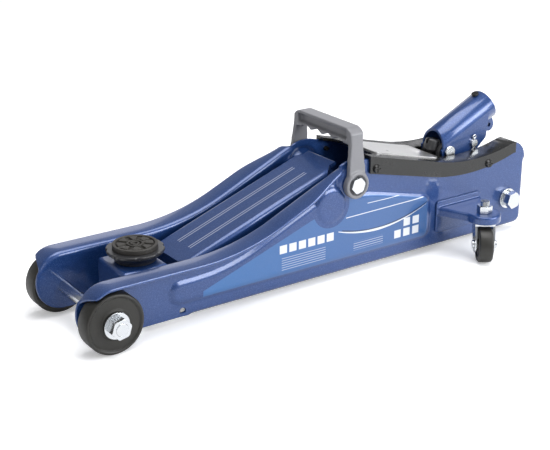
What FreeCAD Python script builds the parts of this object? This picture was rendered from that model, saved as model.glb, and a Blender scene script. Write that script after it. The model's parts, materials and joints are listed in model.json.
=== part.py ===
import FreeCAD, Part
import math
import os
from FreeCAD import Vector

# Low-profile hydraulic trolley jack, 2 t class, arm fully down.
# Model frame: +X towards the handle end, +Y to the operator's right, +Z up, floor at Z = 0.
# Working X is measured from the front axle; export moves the middle of the length to X = 0.

# ---------------------------------------------------------------- driving dimensions (mm)
wheel_d = 62.0            # front wheel diameter
wheel_w = 19.5            # front wheel width
body_rear_x = 557.6       # rear edge of the side plates, behind the front axle
body_bottom_z = 7.4       # bottom edge of the side plates
plate_gap = 84.6          # clear width between the side plates
plate_t = 3.0             # side plate sheet
fender_y = 68.4           # outer edge of the fender flange
fender_top_z = 68.5       # top of the fender over the front wheels
fender_rear_x = 284.5     # where the fender flange ends
fender_slope = 24.0       # degrees, rise of the plates towards the arm pivot
top_rise_x = 146.0        # where the level fender turns up the slope
crest_x = 297.0           # highest corner of the plate, above the arm pivot
crest_lean = 0.092        # the crest corner moves forward by this share of an inset
waist_x = 473.2           # lowest point of the dip in front of the handle socket
waist_z = 91.8
rear_top_z = 114.4        # rear upper corner of the plate
emboss = 3.0              # depth of the stamped panel
lip_w = 9.0               # inward lip along the bottom and rear edges
lip_front_x = 97.0        # the lip starts behind the drain hole
drain_x = 86.4            # drain hole in the bottom corner of the panel
drain_z = 13.8
drain_r = 3.0
axle_end = 81.5           # half length of the front axle

pivot_x = 269.0           # arm pivot
pivot_z = 87.0
pivot_r = 8.0
saddle_x = 60.0           # saddle axis when the arm is down
saddle_pivot_z = 40.0
arm_side_gap = 9.0        # clear distance from the arm's walls to the side plates
arm_t = 4.0               # arm sheet
arm_slope = 19.6          # degrees, top plate of the arm when down
arm_front_x = 97.0        # front edge of the arm's top plate
arm_rear_x = 283.0
arm_tail_x = 293.0        # rolled rear edge of the arm's top plate
arm_front_z = 57.2        # top plate height at its front edge
arm_web_low_z = 41.0      # lower edge of the arm's turned-down front
link_dx = -8.9            # levelling linkage: lower pivot relative to upper pivot
link_dz = -24.4
web_low = 12.0            # lower edge of the arm's rear web above the pivot, clear of the raised ram
link_pin_r = 4.0
link_side_gap = 7.0       # a levelling link's inner face to the side plate
link_t = 4.5
carrier_t = 3.5           # saddle bracket sheet
carrier_top_z = 60.5
clip_t = 1.2              # clips of the saddle pin

crank_r = 50.0            # crank pin radius about the arm pivot
crank_angle = 37.5        # degrees behind straight down when the arm is down
crank_pin_r = 7.0

unit_z = 42.2             # axis of the hydraulic cylinder
rod_r = 11.0
rod_tip_r = 7.0           # turned-down end of the rod in the fork
piston_r = 15.0
piston_t = 9.0
cylinder_out = 18.0
fork_half = 15.0
tube_r = 26.0             # reservoir tube
tube_front_x = 318.0
block_front_x = 405.0
block_rear_x = 547.0
block_half = 30.0
spring_y = 22.0           # return springs
spring_z = 22.0
spring_r = 3.5
spring_wire = 1.2
barrel_r = 10.0           # pump barrel
barrel_low_z = 48.0
barrel_top_z = 86.0
plunger_r = 6.0
pump_pin_r = 4.5
valve_x = 453.0           # end of the release valve's knuckle
valve_z = 118.0
valve_slope = 75.0        # degrees from level

bolt_x = 532.0            # rear mounting bolts of the power unit
bolt_z = 42.5
bolt_r = 6.0
washer_t = 2.5
lock_t = 3.2
socket_pivot_x = 461.4    # handle socket pivot
socket_pivot_z = 105.0
socket_slope = 26.0       # degrees, socket at the bottom of its stroke
handle_bore_r = 15.2      # takes a 30 mm jack handle
socket_t = 3.0
socket_len = 88.0
mouth_cut = 10.0          # the socket's front end slants back by this much towards its top
closed_len = 26.0         # length of full tube at the handle end
relief = 0.5              # the bore behind the full tube is wider by this much
ear_r = 7.5               # clamp ears under the mouth
axis_x = 485.2            # a point on the socket's axis
axis_z = 124.8
pump_pin_x = 498.6
pump_pin_z = 109.5

carry_x = 298.0           # carrying handle pivot
carry_z = 107.0
carry_top_z = 168.5
carry_lean = 4.0          # the legs lean inwards by this much at the grip
carry_foot_r = 15.0
carry_corner_r = 13.0
grip_low_z = 151.0
grip_half_x = 8.5
finger_waves = 4
finger_pitch = 19.5
recess_t = 4.8            # depth of the bolt's recess in the handle's feet

guard_t = 2.8             # rear guard moulding
guard_front_x = 320.5
guard_rear_x = 539.0
skirt_h = 14.0
window_x0 = 345.0         # window under the cover plate
window_x1 = 434.0
window_y = 25.5
slot_x0 = 440.5           # slot for the handle socket
slot_y = 22.6
screw_r = 2.5
guard_screw_places = [(329.0, 118.0), (496.0, 92.5)]

kingpin_x = 453.7
kingpin_y = 88.8
caster_trail = 11.5
caster_turn = 55.0        # degrees, the way the casters trail, from straight ahead
caster_d = 40.0
caster_w = 16.0
caster_half = 11.2        # half width over the caster fork
fork_t = 2.4
fork_top_z = 43.8
tongue_r = 18.5           # round tongue of the caster bracket
tongue_top_z = 54.0
tongue_low_z = 44.7
tongue_t = 3.0

saddle_r = 29.6
saddle_top_z = 78.6
stem_r = 9.0              # stem under the saddle cup
pad_t = 5.0               # rubber pad
pad_groove = 2.4          # half width of the grooves between the pad's blocks

run_fit = 0.06            # radial clearance of running fits
seat_fit = 0.03           # radial clearance of pins pressed or bolted in place
gap = 0.35                # clear distance between unlike bodies that pass each other

# ---------------------------------------------------------------- derived places
plate_in = plate_gap / 2
plate_out = plate_in + plate_t
arm_half = plate_in - arm_side_gap
link_y = plate_in - link_side_gap
axle_z = wheel_d / 2
axle_r = 6.45
wheel_in = plate_out + 3.5
wheel_out = wheel_in + wheel_w
body_front_x = -(wheel_d / 2 - 1.0)
mid_x = (body_rear_x - wheel_d / 2) / 2
slope = math.radians(fender_slope)
arm_rise = math.tan(math.radians(arm_slope))
crank_x = pivot_x + crank_r * math.sin(math.radians(crank_angle))
crank_z = pivot_z - crank_r * math.cos(math.radians(crank_angle))
socket_tilt = math.radians(socket_slope)
valve_tilt = math.radians(valve_slope)
valve_dir = Vector(math.cos(valve_tilt), 0, math.sin(valve_tilt))
OVER = 60.0               # overshoot of cutting tools

os.makedirs("parts", exist_ok=True)


# ---------------------------------------------------------------- helpers
def box(x0, x1, y0, y1, z0, z1):
    return Part.makeBox(x1 - x0, y1 - y0, z1 - z0, Vector(x0, y0, z0))


def cyl_y(x, z, r, y0, y1):
    return Part.makeCylinder(r, y1 - y0, Vector(x, y0, z), Vector(0, 1, 0))


def ring_y(x, z, r_out, r_in, y0, y1):
    return cyl_y(x, z, r_out, y0, y1).cut(cyl_y(x, z, r_in, y0 - 1, y1 + 1))


def cyl_x(y, z, r, x0, x1):
    return Part.makeCylinder(r, x1 - x0, Vector(x0, y, z), Vector(1, 0, 0))


def cyl_z(x, y, r, z0, z1):
    return Part.makeCylinder(r, z1 - z0, Vector(x, y, z0), Vector(0, 0, 1))


def mirror_y(shape):
    return shape.mirror(Vector(0, 0, 0), Vector(0, 1, 0))


def both_sides(shape):
    return [shape, mirror_y(shape)]


def fuse_all(shapes):
    out = shapes[0]
    for s in shapes[1:]:
        out = out.fuse(s)
    return out.removeSplitter()


def rounded_wire(corners):
    """Closed XZ outline from (x, z, radius) corners, each rounded by a tangent arc."""
    n = len(corners)
    edges = []
    ends = []
    for i in range(n):
        here = Vector(corners[i][0], 0, corners[i][1])
        r = corners[i][2]
        to_prev = Vector(corners[i - 1][0], 0, corners[i - 1][1]) - here
        to_next = Vector(corners[(i + 1) % n][0], 0, corners[(i + 1) % n][1]) - here
        to_prev.normalize()
        to_next.normalize()
        if r <= 0:
            ends.append((here, None, here))
            continue
        half = to_prev.getAngle(to_next) / 2
        back = r / math.tan(half)
        bisector = to_prev + to_next
        bisector.normalize()
        apex = here + bisector * (r / math.sin(half) - r)
        ends.append((here + to_prev * back, apex, here + to_next * back))
    for i in range(n):
        start, apex, stop = ends[i]
        if apex is not None:
            edges.append(Part.Arc(start, apex, stop).toShape())
        after = ends[(i + 1) % n][0]
        if (after - stop).Length > 1e-4:
            edges.append(Part.LineSegment(stop, after).toShape())
    return Part.Wire(Part.__sortEdges__(edges))


def prism_y(corners, y0, y1):
    wire = rounded_wire(corners)
    wire.translate(Vector(0, y0, 0))
    return Part.Face(wire).extrude(Vector(0, y1 - y0, 0))


def prism_z(corners, z0, z1):
    """Prism standing on an XY outline given as (x, y, radius) corners."""
    solid = prism_y([(x, -y, r) for x, y, r in corners], 0, z1 - z0)
    solid.rotate(Vector(0, 0, 0), Vector(1, 0, 0), 90)
    solid.translate(Vector(0, 0, z0))
    return solid


def rounded_edges(shape, r, pick):
    edges = [e for e in shape.Edges if pick(e)]
    return shape.makeFillet(r, edges)


def folded_section(half, top_z, r, x0, x1):
    """Long bar along X with a folded channel's outer section: flat sides, rounded top corners."""
    bar = prism_y([(-half, top_z - 300, 0), (-half, top_z, r), (half, top_z, r), (half, top_z - 300, 0)],
                  -x1, -x0)
    bar.rotate(Vector(0, 0, 0), Vector(0, 0, 1), 90)
    return bar


def hex_y(x, z, across, y0, y1):
    """Hexagonal prism along Y with its corners turned down at both ends."""
    corner_r = across / math.sqrt(3)
    pts = []
    for k in range(6):
        a = math.radians(60 * k + 12)
        pts.append((x + corner_r * math.cos(a), z + corner_r * math.sin(a), 0))
    body = prism_y(pts, y0, y1)
    depth = 0.35 * corner_r
    cone = Part.makeCone(corner_r * 0.93, corner_r * 0.93 + depth, depth,
                         Vector(x, y0, z), Vector(0, 1, 0))
    cap = Part.makeCone(corner_r * 0.93 + depth, corner_r * 0.93, depth,
                        Vector(x, y1 - depth, z), Vector(0, 1, 0))
    mid = cyl_y(x, z, corner_r * 1.2, y0 + depth * 0.5, y1 - depth * 0.5)
    limit = cone.fuse(cap).fuse(mid)
    return body.common(limit)


def revolve(profile, base, axis):
    """Solid of revolution of a closed (radius, height) profile about an axis through base."""
    pts = [Vector(r, 0, h) for r, h in profile]
    pts.append(pts[0])
    solid = Part.Face(Part.makePolygon(pts)).revolve(Vector(0, 0, 0), Vector(0, 0, 1), 360)
    turn = FreeCAD.Rotation(Vector(0, 0, 1), axis)
    solid.Placement = FreeCAD.Placement(base, turn)
    return solid


def export(name, shapes):
    solids = []
    for s in shapes:
        solids.extend(s.Solids)
    node = solids[0] if len(solids) == 1 else Part.makeCompound(solids)
    node = node.copy()
    node.translate(Vector(-mid_x, 0, 0))
    node.exportStep("parts/%s.step" % name)


# ---------------------------------------------------------------- side plates
nose_r = (fender_top_z - body_bottom_z) / 2 - 0.5


def plate_outline(inset):
    """Side plate outline, moved inwards by inset on every edge."""
    d = inset
    tilt = math.tan(slope)
    top_z = fender_top_z - d
    rise_x = top_rise_x + d * math.tan(slope / 2)
    crest_rear_x = crest_x - d * crest_lean
    return [
        (body_front_x + d, body_bottom_z + d, nose_r - d),
        (body_front_x + d, top_z, nose_r - d),
        (rise_x, top_z, 240.0 + d),
        (crest_rear_x, top_z + (crest_rear_x - rise_x) * tilt, 40.0 - d),
        (waist_x, waist_z - d, 225.0 + d),
        (body_rear_x - d, rear_top_z - d, 20.0 - d),
        (body_rear_x - d, body_bottom_z + d, 9.0 - d),
    ]


def bent_strip():
    """Vertical leg, bend and horizontal flange of the fender, swept along the plate's top edge."""
    bend_in = 5.0
    leg = 11.0
    y0 = plate_in
    y1 = fender_y
    c = Vector(0, y0 + bend_in, -bend_in)
    inner = bend_in - plate_t
    diag = math.sqrt(0.5)
    pts = [
        Part.LineSegment(Vector(0, y0, -leg), Vector(0, y0, -bend_in)),
        Part.Arc(Vector(0, y0, -bend_in), c + Vector(0, -diag, diag) * bend_in, c + Vector(0, 0, bend_in)),
        Part.LineSegment(c + Vector(0, 0, bend_in), Vector(0, y1, 0)),
        Part.LineSegment(Vector(0, y1, 0), Vector(0, y1, -plate_t)),
        Part.LineSegment(Vector(0, y1, -plate_t), c + Vector(0, 0, inner)),
        Part.Arc(c + Vector(0, 0, inner), c + Vector(0, -diag, diag) * inner, c + Vector(0, -inner, 0)),
        Part.LineSegment(c + Vector(0, -inner, 0), Vector(0, y0 + plate_t, -leg)),
        Part.LineSegment(Vector(0, y0 + plate_t, -leg), Vector(0, y0, -leg)),
    ]
    return Part.Wire([p.toShape() for p in pts]), leg


def top_path(x_end):
    """Top edge of the plate from the front of the fender to x_end, on the plane Y = 0."""
    nose_c = Vector(body_front_x + nose_r, 0, fender_top_z - nose_r)
    a0 = math.radians(138)
    am = math.radians(114)
    start = nose_c + Vector(math.cos(a0), 0, math.sin(a0)) * nose_r
    mid = nose_c + Vector(math.cos(am), 0, math.sin(am)) * nose_r
    top = nose_c + Vector(0, 0, nose_r)
    r = 240.0
    t = r * math.tan(slope / 2)
    b0 = Vector(top_rise_x - t, 0, fender_top_z)
    b1 = Vector(top_rise_x + t * math.cos(slope), 0, fender_top_z + t * math.sin(slope))
    bm = Vector(b0.x + r * math.sin(slope / 2), 0, fender_top_z + r * (1 - math.cos(slope / 2)))
    end = Vector(x_end, 0, fender_top_z + (x_end - top_rise_x) * math.tan(slope))
    return Part.Wire([
        Part.Arc(start, mid, top).toShape(),
        Part.LineSegment(top, b0).toShape(),
        Part.Arc(b0, bm, b1).toShape(),
        Part.LineSegment(b1, end).toShape(),
    ]), start, a0


def sweep_on_top(section, x_end):
    path, start, a0 = top_path(x_end)
    placed = section.copy()
    placed.rotate(Vector(0, 0, 0), Vector(0, 1, 0), 90 - math.degrees(a0))
    placed.translate(start)
    pipe = Part.BRepOffsetAPI.MakePipeShell(path)
    pipe.setBiNormalMode(Vector(0, 1, 0))
    pipe.add(placed)
    pipe.build()
    pipe.makeSolid()
    return Part.Solid(pipe.shape())


def fender_plan():
    """Plan outline that trims the fender: round front tip, rounded rear end."""
    return prism_z([
        (-26.0, plate_in - 2, 0),
        (-26.0, fender_y, 15.0),
        (238.0, fender_y, 60.0),
        (fender_rear_x, fender_y - 12.0, 9.0),
        (fender_rear_x, plate_in - 2, 0),
    ], 0, 200)


def panel_outline(grow):
    """Stamped panel on the plate's flat, from behind the front wheel to the caster bracket."""
    g = grow
    return [
        (70.0 - g, 20.5 - g, 13.5 + g),
        (70.0 - g, 48.5 + g, 13.5 + g),
        (139.0, 48.5 + g, 200.0),
        (262.0, 103.0 + g, 40.0),
        (330.0, 92.0 + g, 60.0),
        (412.0 + g, 72.0 + g, 16.0 + g),
        (412.0 + g, 20.5 - g, 12.0 + g),
    ]


def side_plate():
    strip, leg = bent_strip()
    fender = sweep_on_top(strip, fender_rear_x + 3).common(fender_plan())
    corner = Part.makePolygon([
        Vector(0, plate_in - 1, 1.5), Vector(0, plate_out + 1, 1.5),
        Vector(0, plate_out + 1, 1 - leg), Vector(0, plate_in - 1, 1 - leg),
        Vector(0, plate_in - 1, 1.5),
    ])
    trim = sweep_on_top(corner, fender_rear_x + 3).common(fender_plan())
    flat = prism_y(plate_outline(0), plate_in, plate_out).cut(trim)
    ring = prism_y(plate_outline(0), plate_in - lip_w, plate_in + 0.5)
    ring = ring.cut(prism_y(plate_outline(plate_t), plate_in - lip_w - 1, plate_in + 1))
    low = box(lip_front_x, body_rear_x + 1, 0, plate_out, 0, body_bottom_z + 6)
    high = box(body_rear_x - 22, body_rear_x + 1, 0, plate_out, 0, 90)
    lip = ring.common(low.fuse(high))
    shell = fuse_all([flat, fender, lip])
    raised = prism_y(panel_outline(0), plate_in + 1, plate_out + emboss)
    raised = rounded_edges(raised, emboss * 0.8, lambda e: e.BoundBox.YMin > plate_out + emboss - 0.01)
    sunk = prism_y(panel_outline(-plate_t * 0.6), plate_in - 1, plate_out + emboss - plate_t)
    sunk = rounded_edges(sunk, emboss * 0.6, lambda e: e.BoundBox.YMin > plate_out + emboss - plate_t - 0.01)
    shell = shell.fuse(raised).cut(sunk)
    pad = Part.makeCone(19.0, 16.0, 1.5, Vector(pivot_x, plate_out + emboss, pivot_z), Vector(0, 1, 0))
    seat = Part.makeCone(21.0, 18.0, emboss + 1.5, Vector(pivot_x, plate_out, pivot_z), Vector(0, 1, 0))
    shell = shell.fuse(seat.fuse(pad.common(seat)))
    hollow = cyl_y(pivot_x, pivot_z, 15.0, plate_in - 1, plate_in + emboss + 1.5)
    shell = shell.cut(hollow)
    carry_seat = Part.makeCone(17.5, 15.3, emboss, Vector(carry_x, plate_out, carry_z), Vector(0, 1, 0))
    shell = shell.fuse(carry_seat)
    holes = [
        (0, axle_z, axle_r + seat_fit),
        (pivot_x, pivot_z, pivot_r - 1.5 + seat_fit),
        (carry_x, carry_z, 5 + seat_fit),
        (bolt_x, bolt_z, bolt_r + seat_fit),
        (drain_x, drain_z, drain_r),
    ]
    for x, z in guard_screw_places:
        holes.append((x, z, screw_r + seat_fit))
    for x, z, r in holes:
        shell = shell.cut(cyl_y(x, z, r, plate_in - lip_w - 2, plate_out + 12))
    return shell.removeSplitter()


plate_right = side_plate()
export("side_plate_right", [plate_right])
export("side_plate_left", [mirror_y(plate_right)])


# ---------------------------------------------------------------- front axle and wheels
def front_wheel():
    r = wheel_d / 2
    h = wheel_w
    profile = [
        (axle_r + run_fit, 0), (r - 2, 0), (r, 1.6), (r, h - 1.8), (r - 0.8, h - 0.4), (r - 2.2, h),
        (r - 3.4, h - 0.5), (r - 4.4, h - 1.8), (16.0, h - 1.8), (14.6, h - 0.3), (axle_r + run_fit, h - 0.3),
    ]
    return revolve(profile, Vector(0, wheel_in, axle_z), Vector(0, 1, 0))


washer_y = wheel_out + gap
nut_y = washer_y + 2.4

axle = cyl_y(0, axle_z, axle_r, -axle_end, axle_end)
axle = rounded_edges(axle, 0.8, lambda e: abs(abs(e.BoundBox.YMin) - axle_end) < 0.1 and e.Closed)
export("front_axle", [axle])
export("axle_spacers", both_sides(ring_y(0, axle_z, 10.0, axle_r + seat_fit, plate_out, wheel_in - gap)))
export("axle_washers", both_sides(ring_y(0, axle_z, 13.5, axle_r + seat_fit, washer_y, nut_y)))
axle_nut = hex_y(0, axle_z, 19.0, nut_y, nut_y + 9.8).cut(cyl_y(0, axle_z, axle_r + seat_fit, 60, 90))
export("axle_nuts", both_sides(axle_nut))
wheel = front_wheel()
export("front_wheel_right", [wheel])
export("front_wheel_left", [mirror_y(wheel)])


# ---------------------------------------------------------------- lift arm
boss_out = plate_in - gap


def arm_top_z(x):
    return arm_front_z + (x - arm_front_x) * arm_rise


def arm_outline():
    front_z = saddle_pivot_z + 13.3
    return [
        (saddle_x - 13.3, front_z, 13.2),
        (arm_front_x - 9, front_z, 5.0),
        (arm_front_x, arm_front_z, 0),
        (arm_rear_x, arm_top_z(arm_rear_x), 0),
        (arm_rear_x + 17, arm_top_z(arm_rear_x) - 20, 12.0),
        (crank_x + 14, crank_z + 20, 30.0),
        (crank_x + 14, crank_z - 13.5, 13.3),
        (crank_x - 14, crank_z - 13.5, 13.3),
        (crank_x - 34, pivot_z - 27, 20.0),
        (saddle_x + 62, saddle_pivot_z - 3, 60.0),
        (saddle_x - 13.3, saddle_pivot_z - 13.6, 11.4),
    ]


def lift_arm():
    inside = arm_half - arm_t
    fold_r = 5.5
    body = prism_y(arm_outline(), -arm_half, arm_half)
    section = folded_section(arm_half, 0, fold_r, -400, 400)
    section.rotate(Vector(0, 0, 0), Vector(0, 1, 0), -arm_slope)
    section.translate(Vector(arm_front_x, 0, arm_front_z))
    front = body.common(box(-OVER, arm_front_x, -OVER, OVER, 0, 200))
    rear = body.common(box(arm_front_x, 400, -OVER, OVER, 0, 200)).common(section)
    body = fuse_all([front, rear])
    drop = arm_t / math.cos(math.radians(arm_slope))
    front_drop = arm_front_z - drop
    tunnel = prism_y([
        (saddle_x - OVER, 0 - OVER, 0),
        (saddle_x - OVER, 200, 0),
        (arm_front_x - 0.5, 200, 0),
        (arm_front_x - 0.5, front_drop - 0.5 * arm_rise, 0),
        (arm_rear_x - 3, arm_top_z(arm_rear_x - 3) - drop, 8.0),
        (arm_rear_x + 6, arm_top_z(arm_rear_x - 3) - drop - 14, 8.0),
        (arm_rear_x + 6, pivot_z + web_low, 0),
        (crank_x + OVER, pivot_z + web_low, 0),
        (crank_x + OVER, -OVER, 0),
    ], -inside, inside)
    body = body.cut(tunnel)
    corner = prism_z([
        (arm_rear_x - 10, arm_half + 1, 0), (arm_rear_x + 1, arm_half - 9, 4.0), (arm_rear_x + 40, arm_half - 12, 0),
        (arm_rear_x + 40, OVER, 0), (arm_rear_x - 10, OVER, 0),
    ], arm_top_z(arm_rear_x) - 13, 200)
    body = body.cut(corner).cut(mirror_y(corner))
    nose = prism_z([
        (arm_front_x - 1, arm_half - 13, 0), (arm_front_x + 12, arm_half + 1, 0), (arm_front_x - 1, arm_half + 1, 0),
    ], saddle_pivot_z + 13.4, 200)
    body = body.cut(nose).cut(mirror_y(nose))
    tail = prism_y([
        (arm_rear_x - 4, arm_top_z(arm_rear_x - 4), 0), (arm_tail_x, arm_top_z(arm_tail_x), 1.8),
        (arm_tail_x, arm_top_z(arm_tail_x) - drop, 1.8), (arm_rear_x - 4, arm_top_z(arm_rear_x - 4) - drop, 0),
    ], -(arm_half - 9.5), arm_half - 9.5)
    body = body.fuse(tail)
    web = prism_y([
        (arm_front_x, arm_front_z - 2, 0), (arm_front_x + arm_t, arm_front_z - 2, 0),
        (arm_front_x + arm_t, arm_web_low_z, 1.5), (arm_front_x, arm_web_low_z, 1.5),
    ], -inside - 0.5, inside + 0.5)
    body = body.fuse(web)
    for y0 in (arm_half - 0.5, -boss_out):
        body = body.fuse(cyl_y(pivot_x, pivot_z, 12.5, y0, y0 + boss_out - arm_half + 0.5))
    body = body.cut(cyl_y(pivot_x, pivot_z, pivot_r + run_fit, -OVER, OVER))
    body = body.cut(cyl_y(crank_x, crank_z, crank_pin_r + seat_fit, -OVER, OVER))
    return body.cut(cyl_y(saddle_x, saddle_pivot_z, 6 + seat_fit, -OVER, OVER)).removeSplitter()


def stepped_pin(x, z, r, r_end, shoulder, end):
    return fuse_all([cyl_y(x, z, r, -shoulder, shoulder), cyl_y(x, z, r_end, -end, end)])


export("lift_arm", [lift_arm()])
export("arm_pivot_shaft", [stepped_pin(pivot_x, pivot_z, pivot_r, pivot_r - 1.5, plate_in + emboss + 1.4,
                                       plate_out + emboss + 1.0)])
export("crank_pin", [cyl_y(crank_x, crank_z, crank_pin_r, -arm_half, arm_half)])
saddle_pin_end = arm_half + 0.1 + clip_t + 0.2
export("saddle_pivot_pin", [cyl_y(saddle_x, saddle_pivot_z, 6, -saddle_pin_end, saddle_pin_end)])
clip = ring_y(saddle_x, saddle_pivot_z, 9.0, 6.0 + 0.02, arm_half + 0.1, arm_half + 0.1 + clip_t)
clip = clip.cut(box(saddle_x - 3, saddle_x + 3, 0, 60, saddle_pivot_z - 12, saddle_pivot_z))
export("saddle_pin_clips", both_sides(clip))


# ---------------------------------------------------------------- levelling links and saddle carrier
anchor_x = pivot_x + link_dx
anchor_z = pivot_z + link_dz
low_pin_x = saddle_x + link_dx
low_pin_z = saddle_pivot_z + link_dz
carrier_half = arm_half - arm_t - gap - 0.6


def level_link():
    eye = 7.0
    bar = 5.0
    length = math.hypot(anchor_x - low_pin_x, anchor_z - low_pin_z)
    y1 = link_y + link_t
    body = fuse_all([
        cyl_y(0, 0, eye, link_y, y1),
        cyl_y(length, 0, eye, link_y, y1),
        box(0, length, link_y, y1, -bar, bar),
    ])
    body = body.cut(cyl_y(0, 0, link_pin_r + 0.3, 0, OVER)).cut(cyl_y(length, 0, link_pin_r + run_fit, 0, OVER))
    turn = math.degrees(math.atan2(anchor_z - low_pin_z, anchor_x - low_pin_x))
    body.rotate(Vector(0, 0, 0), Vector(0, 1, 0), -turn)
    body.translate(Vector(low_pin_x, 0, low_pin_z))
    return body


def saddle_bracket():
    x0 = saddle_x - 28
    x1 = saddle_x + 22
    z0 = low_pin_z - 7
    outer = prism_y([
        (x0, carrier_top_z, 4.0), (x1, carrier_top_z, 4.0), (x1, carrier_top_z - 18, 8.0),
        (saddle_x + 9, low_pin_z - 4, 12.0), (low_pin_x + 7, z0, 6.0), (low_pin_x - 7, z0, 6.9),
        (x0, low_pin_z + 14, 20.0),
    ], -carrier_half, carrier_half)
    hollow = box(x0 + carrier_t, x1 + 1, carrier_t - carrier_half, carrier_half - carrier_t, -5,
                 carrier_top_z - carrier_t)
    low = box(x0 - 1, x1, carrier_t - carrier_half, carrier_half - carrier_t, -5, low_pin_z + 18)
    body = outer.cut(hollow).cut(low)
    body = body.common(folded_section(carrier_half, carrier_top_z, 5.0, x0 - 1, x1 + 1))
    body = body.cut(cyl_y(saddle_x, saddle_pivot_z, 6 + run_fit, -OVER, OVER))
    body = body.cut(cyl_y(low_pin_x, low_pin_z, link_pin_r + seat_fit, -OVER, OVER))
    return body.cut(cyl_z(saddle_x, 0, stem_r + run_fit, 50, 70))


link = level_link()
export("level_link_right", [link])
export("level_link_left", [mirror_y(link)])
export("link_anchor_pins", both_sides(cyl_y(anchor_x, anchor_z, link_pin_r, link_y - 0.5, plate_in)))
export("saddle_bracket", [saddle_bracket()])
export("link_cross_pin", [cyl_y(low_pin_x, low_pin_z, link_pin_r, -link_y - link_t - 0.8,
                                link_y + link_t + 0.8)])


# ---------------------------------------------------------------- saddle
def saddle_cup():
    """Cast cup: lobed flange on a neck, with a stem and a retaining groove under the bracket."""
    face = saddle_top_z - pad_t
    profile = [
        (0, carrier_top_z - 6.5), (stem_r - 1.5, carrier_top_z - 6.5), (stem_r, carrier_top_z - 5.5),
        (stem_r, carrier_top_z + gap), (21.0, carrier_top_z + gap), (22.5, carrier_top_z + 4),
        (saddle_r - 2, face - 4.5), (saddle_r, face - 3), (saddle_r, face), (0, face),
    ]
    cup = revolve(profile, Vector(saddle_x, 0, 0), Vector(0, 0, 1))
    for k in range(8):
        a = math.radians(45 * k + 22.5)
        notch = cyl_z(saddle_x + (saddle_r + 3.4) * math.cos(a), (saddle_r + 3.4) * math.sin(a), 5.0,
                      face - 6, face + 1)
        cup = cup.cut(notch)
    return cup


def saddle_pad():
    """Rubber pad: outer rim, eight wedge blocks round two rings, with grooves between them."""
    base = saddle_top_z - pad_t
    r = 23.0
    pad = cyl_z(saddle_x, 0, r, base, saddle_top_z - 2.2)
    rim = cyl_z(saddle_x, 0, r, base, saddle_top_z).cut(cyl_z(saddle_x, 0, r - 3.2, base, saddle_top_z + 1))
    wedges = cyl_z(saddle_x, 0, r - 4.6, base, saddle_top_z).cut(cyl_z(saddle_x, 0, 10.2, base, saddle_top_z + 1))
    for k in range(8):
        a = 45.0 * k
        slot = box(0, r, -pad_groove, pad_groove, base - 1, saddle_top_z + 1)
        slot.rotate(Vector(0, 0, 0), Vector(0, 0, 1), a)
        slot.translate(Vector(saddle_x, 0, 0))
        wedges = wedges.cut(slot)
    rings = [pad, rim, wedges]
    for r1, r0 in ((8.6, 6.6), (4.6, 2.6)):
        rings.append(cyl_z(saddle_x, 0, r1, base, saddle_top_z).cut(
            cyl_z(saddle_x, 0, r0, base, saddle_top_z + 1)))
    return fuse_all(rings)


export("saddle_cup", [saddle_cup()])
export("saddle_pad", [saddle_pad()])
clip_z = carrier_top_z - carrier_t
stem_clip = cyl_z(saddle_x, 0, stem_r + 3, clip_z - 1.9, clip_z - 0.5)
stem_clip = stem_clip.cut(cyl_z(saddle_x, 0, stem_r + 0.02, 0, 90))
export("saddle_stem_clip", [stem_clip.cut(box(saddle_x, saddle_x + 20, -3, 3, 0, 90))])


# ---------------------------------------------------------------- hydraulic power unit
tube_rear_x = block_front_x
fork_rear_x = crank_x + fork_half + 1.0
hook_x = crank_x + 11.0


def power_block():
    """Cast pump block with trunnion ears, a pump boss, pivot lugs and a release valve boss."""
    top_z = 72.0
    core = prism_y([
        (block_front_x, 14, 5), (block_front_x, top_z - 2, 6), (475, top_z, 6), (480, 80, 6), (517, 80, 6),
        (523, 62, 8), (block_rear_x, 60, 12), (block_rear_x, 22, 10), (515, 14, 8),
    ], -block_half, block_half)
    ears = prism_y([
        (bolt_x - 14, bolt_z - 15, 6), (bolt_x - 14, bolt_z + 15, 6),
        (block_rear_x, bolt_z + 15, 8), (block_rear_x, bolt_z - 15, 8),
    ], -plate_in, plate_in)
    lug = prism_y([
        (socket_pivot_x - 20, 66, 0), (socket_pivot_x - 9.5, socket_pivot_z + 9.5, 9.4),
        (socket_pivot_x + 9.5, socket_pivot_z + 9.5, 9.4), (socket_pivot_x + 20, 66, 0),
    ], 9.5, handle_bore_r - 0.8)
    shapes = [core, ears, lug, mirror_y(lug)]
    shapes.append(cyl_z(pump_pin_x, 0, 14.0, top_z - 4, top_z + 10))
    shapes.append(Part.makeCylinder(10.0, 26.0, valve_at(58), valve_dir))
    body = fuse_all(shapes)
    body = body.cut(cyl_x(0, unit_z, piston_r, block_front_x - 1, block_front_x + 14))
    body = body.cut(cyl_z(pump_pin_x, 0, barrel_r + seat_fit, barrel_low_z, 120))
    body = body.cut(cyl_y(socket_pivot_x, socket_pivot_z, 5 + seat_fit, -OVER, OVER))
    for s in (-1, 1):
        body = body.cut(cyl_y(bolt_x, bolt_z, bolt_r + seat_fit, min(s * 22, s * 60), max(s * 22, s * 60)))
    return body.cut(Part.makeCylinder(5 + run_fit, 60, valve_at(50), valve_dir))


def valve_at(depth):
    """Point on the release valve's axis, depth below the end of its knuckle."""
    return Vector(valve_x, 0, valve_z) - valve_dir * depth


def release_valve():
    """Valve spindle with a round knuckle, slotted across for the end of the jack handle."""
    body = fuse_all([
        Part.makeCylinder(5.0, 40, valve_at(49.5), valve_dir),
        Part.makeCylinder(8.6, 15, valve_at(15), valve_dir),
    ])
    body = rounded_edges(body, 3.0, lambda e: e.Closed and e.Length > 50)
    slot = box(-30, 30, -1.6, 1.6, 8, 20)
    slot.rotate(Vector(0, 0, 0), Vector(0, 1, 0), 90 - valve_slope)
    slot.translate(valve_at(15))
    return body.cut(slot)


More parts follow.
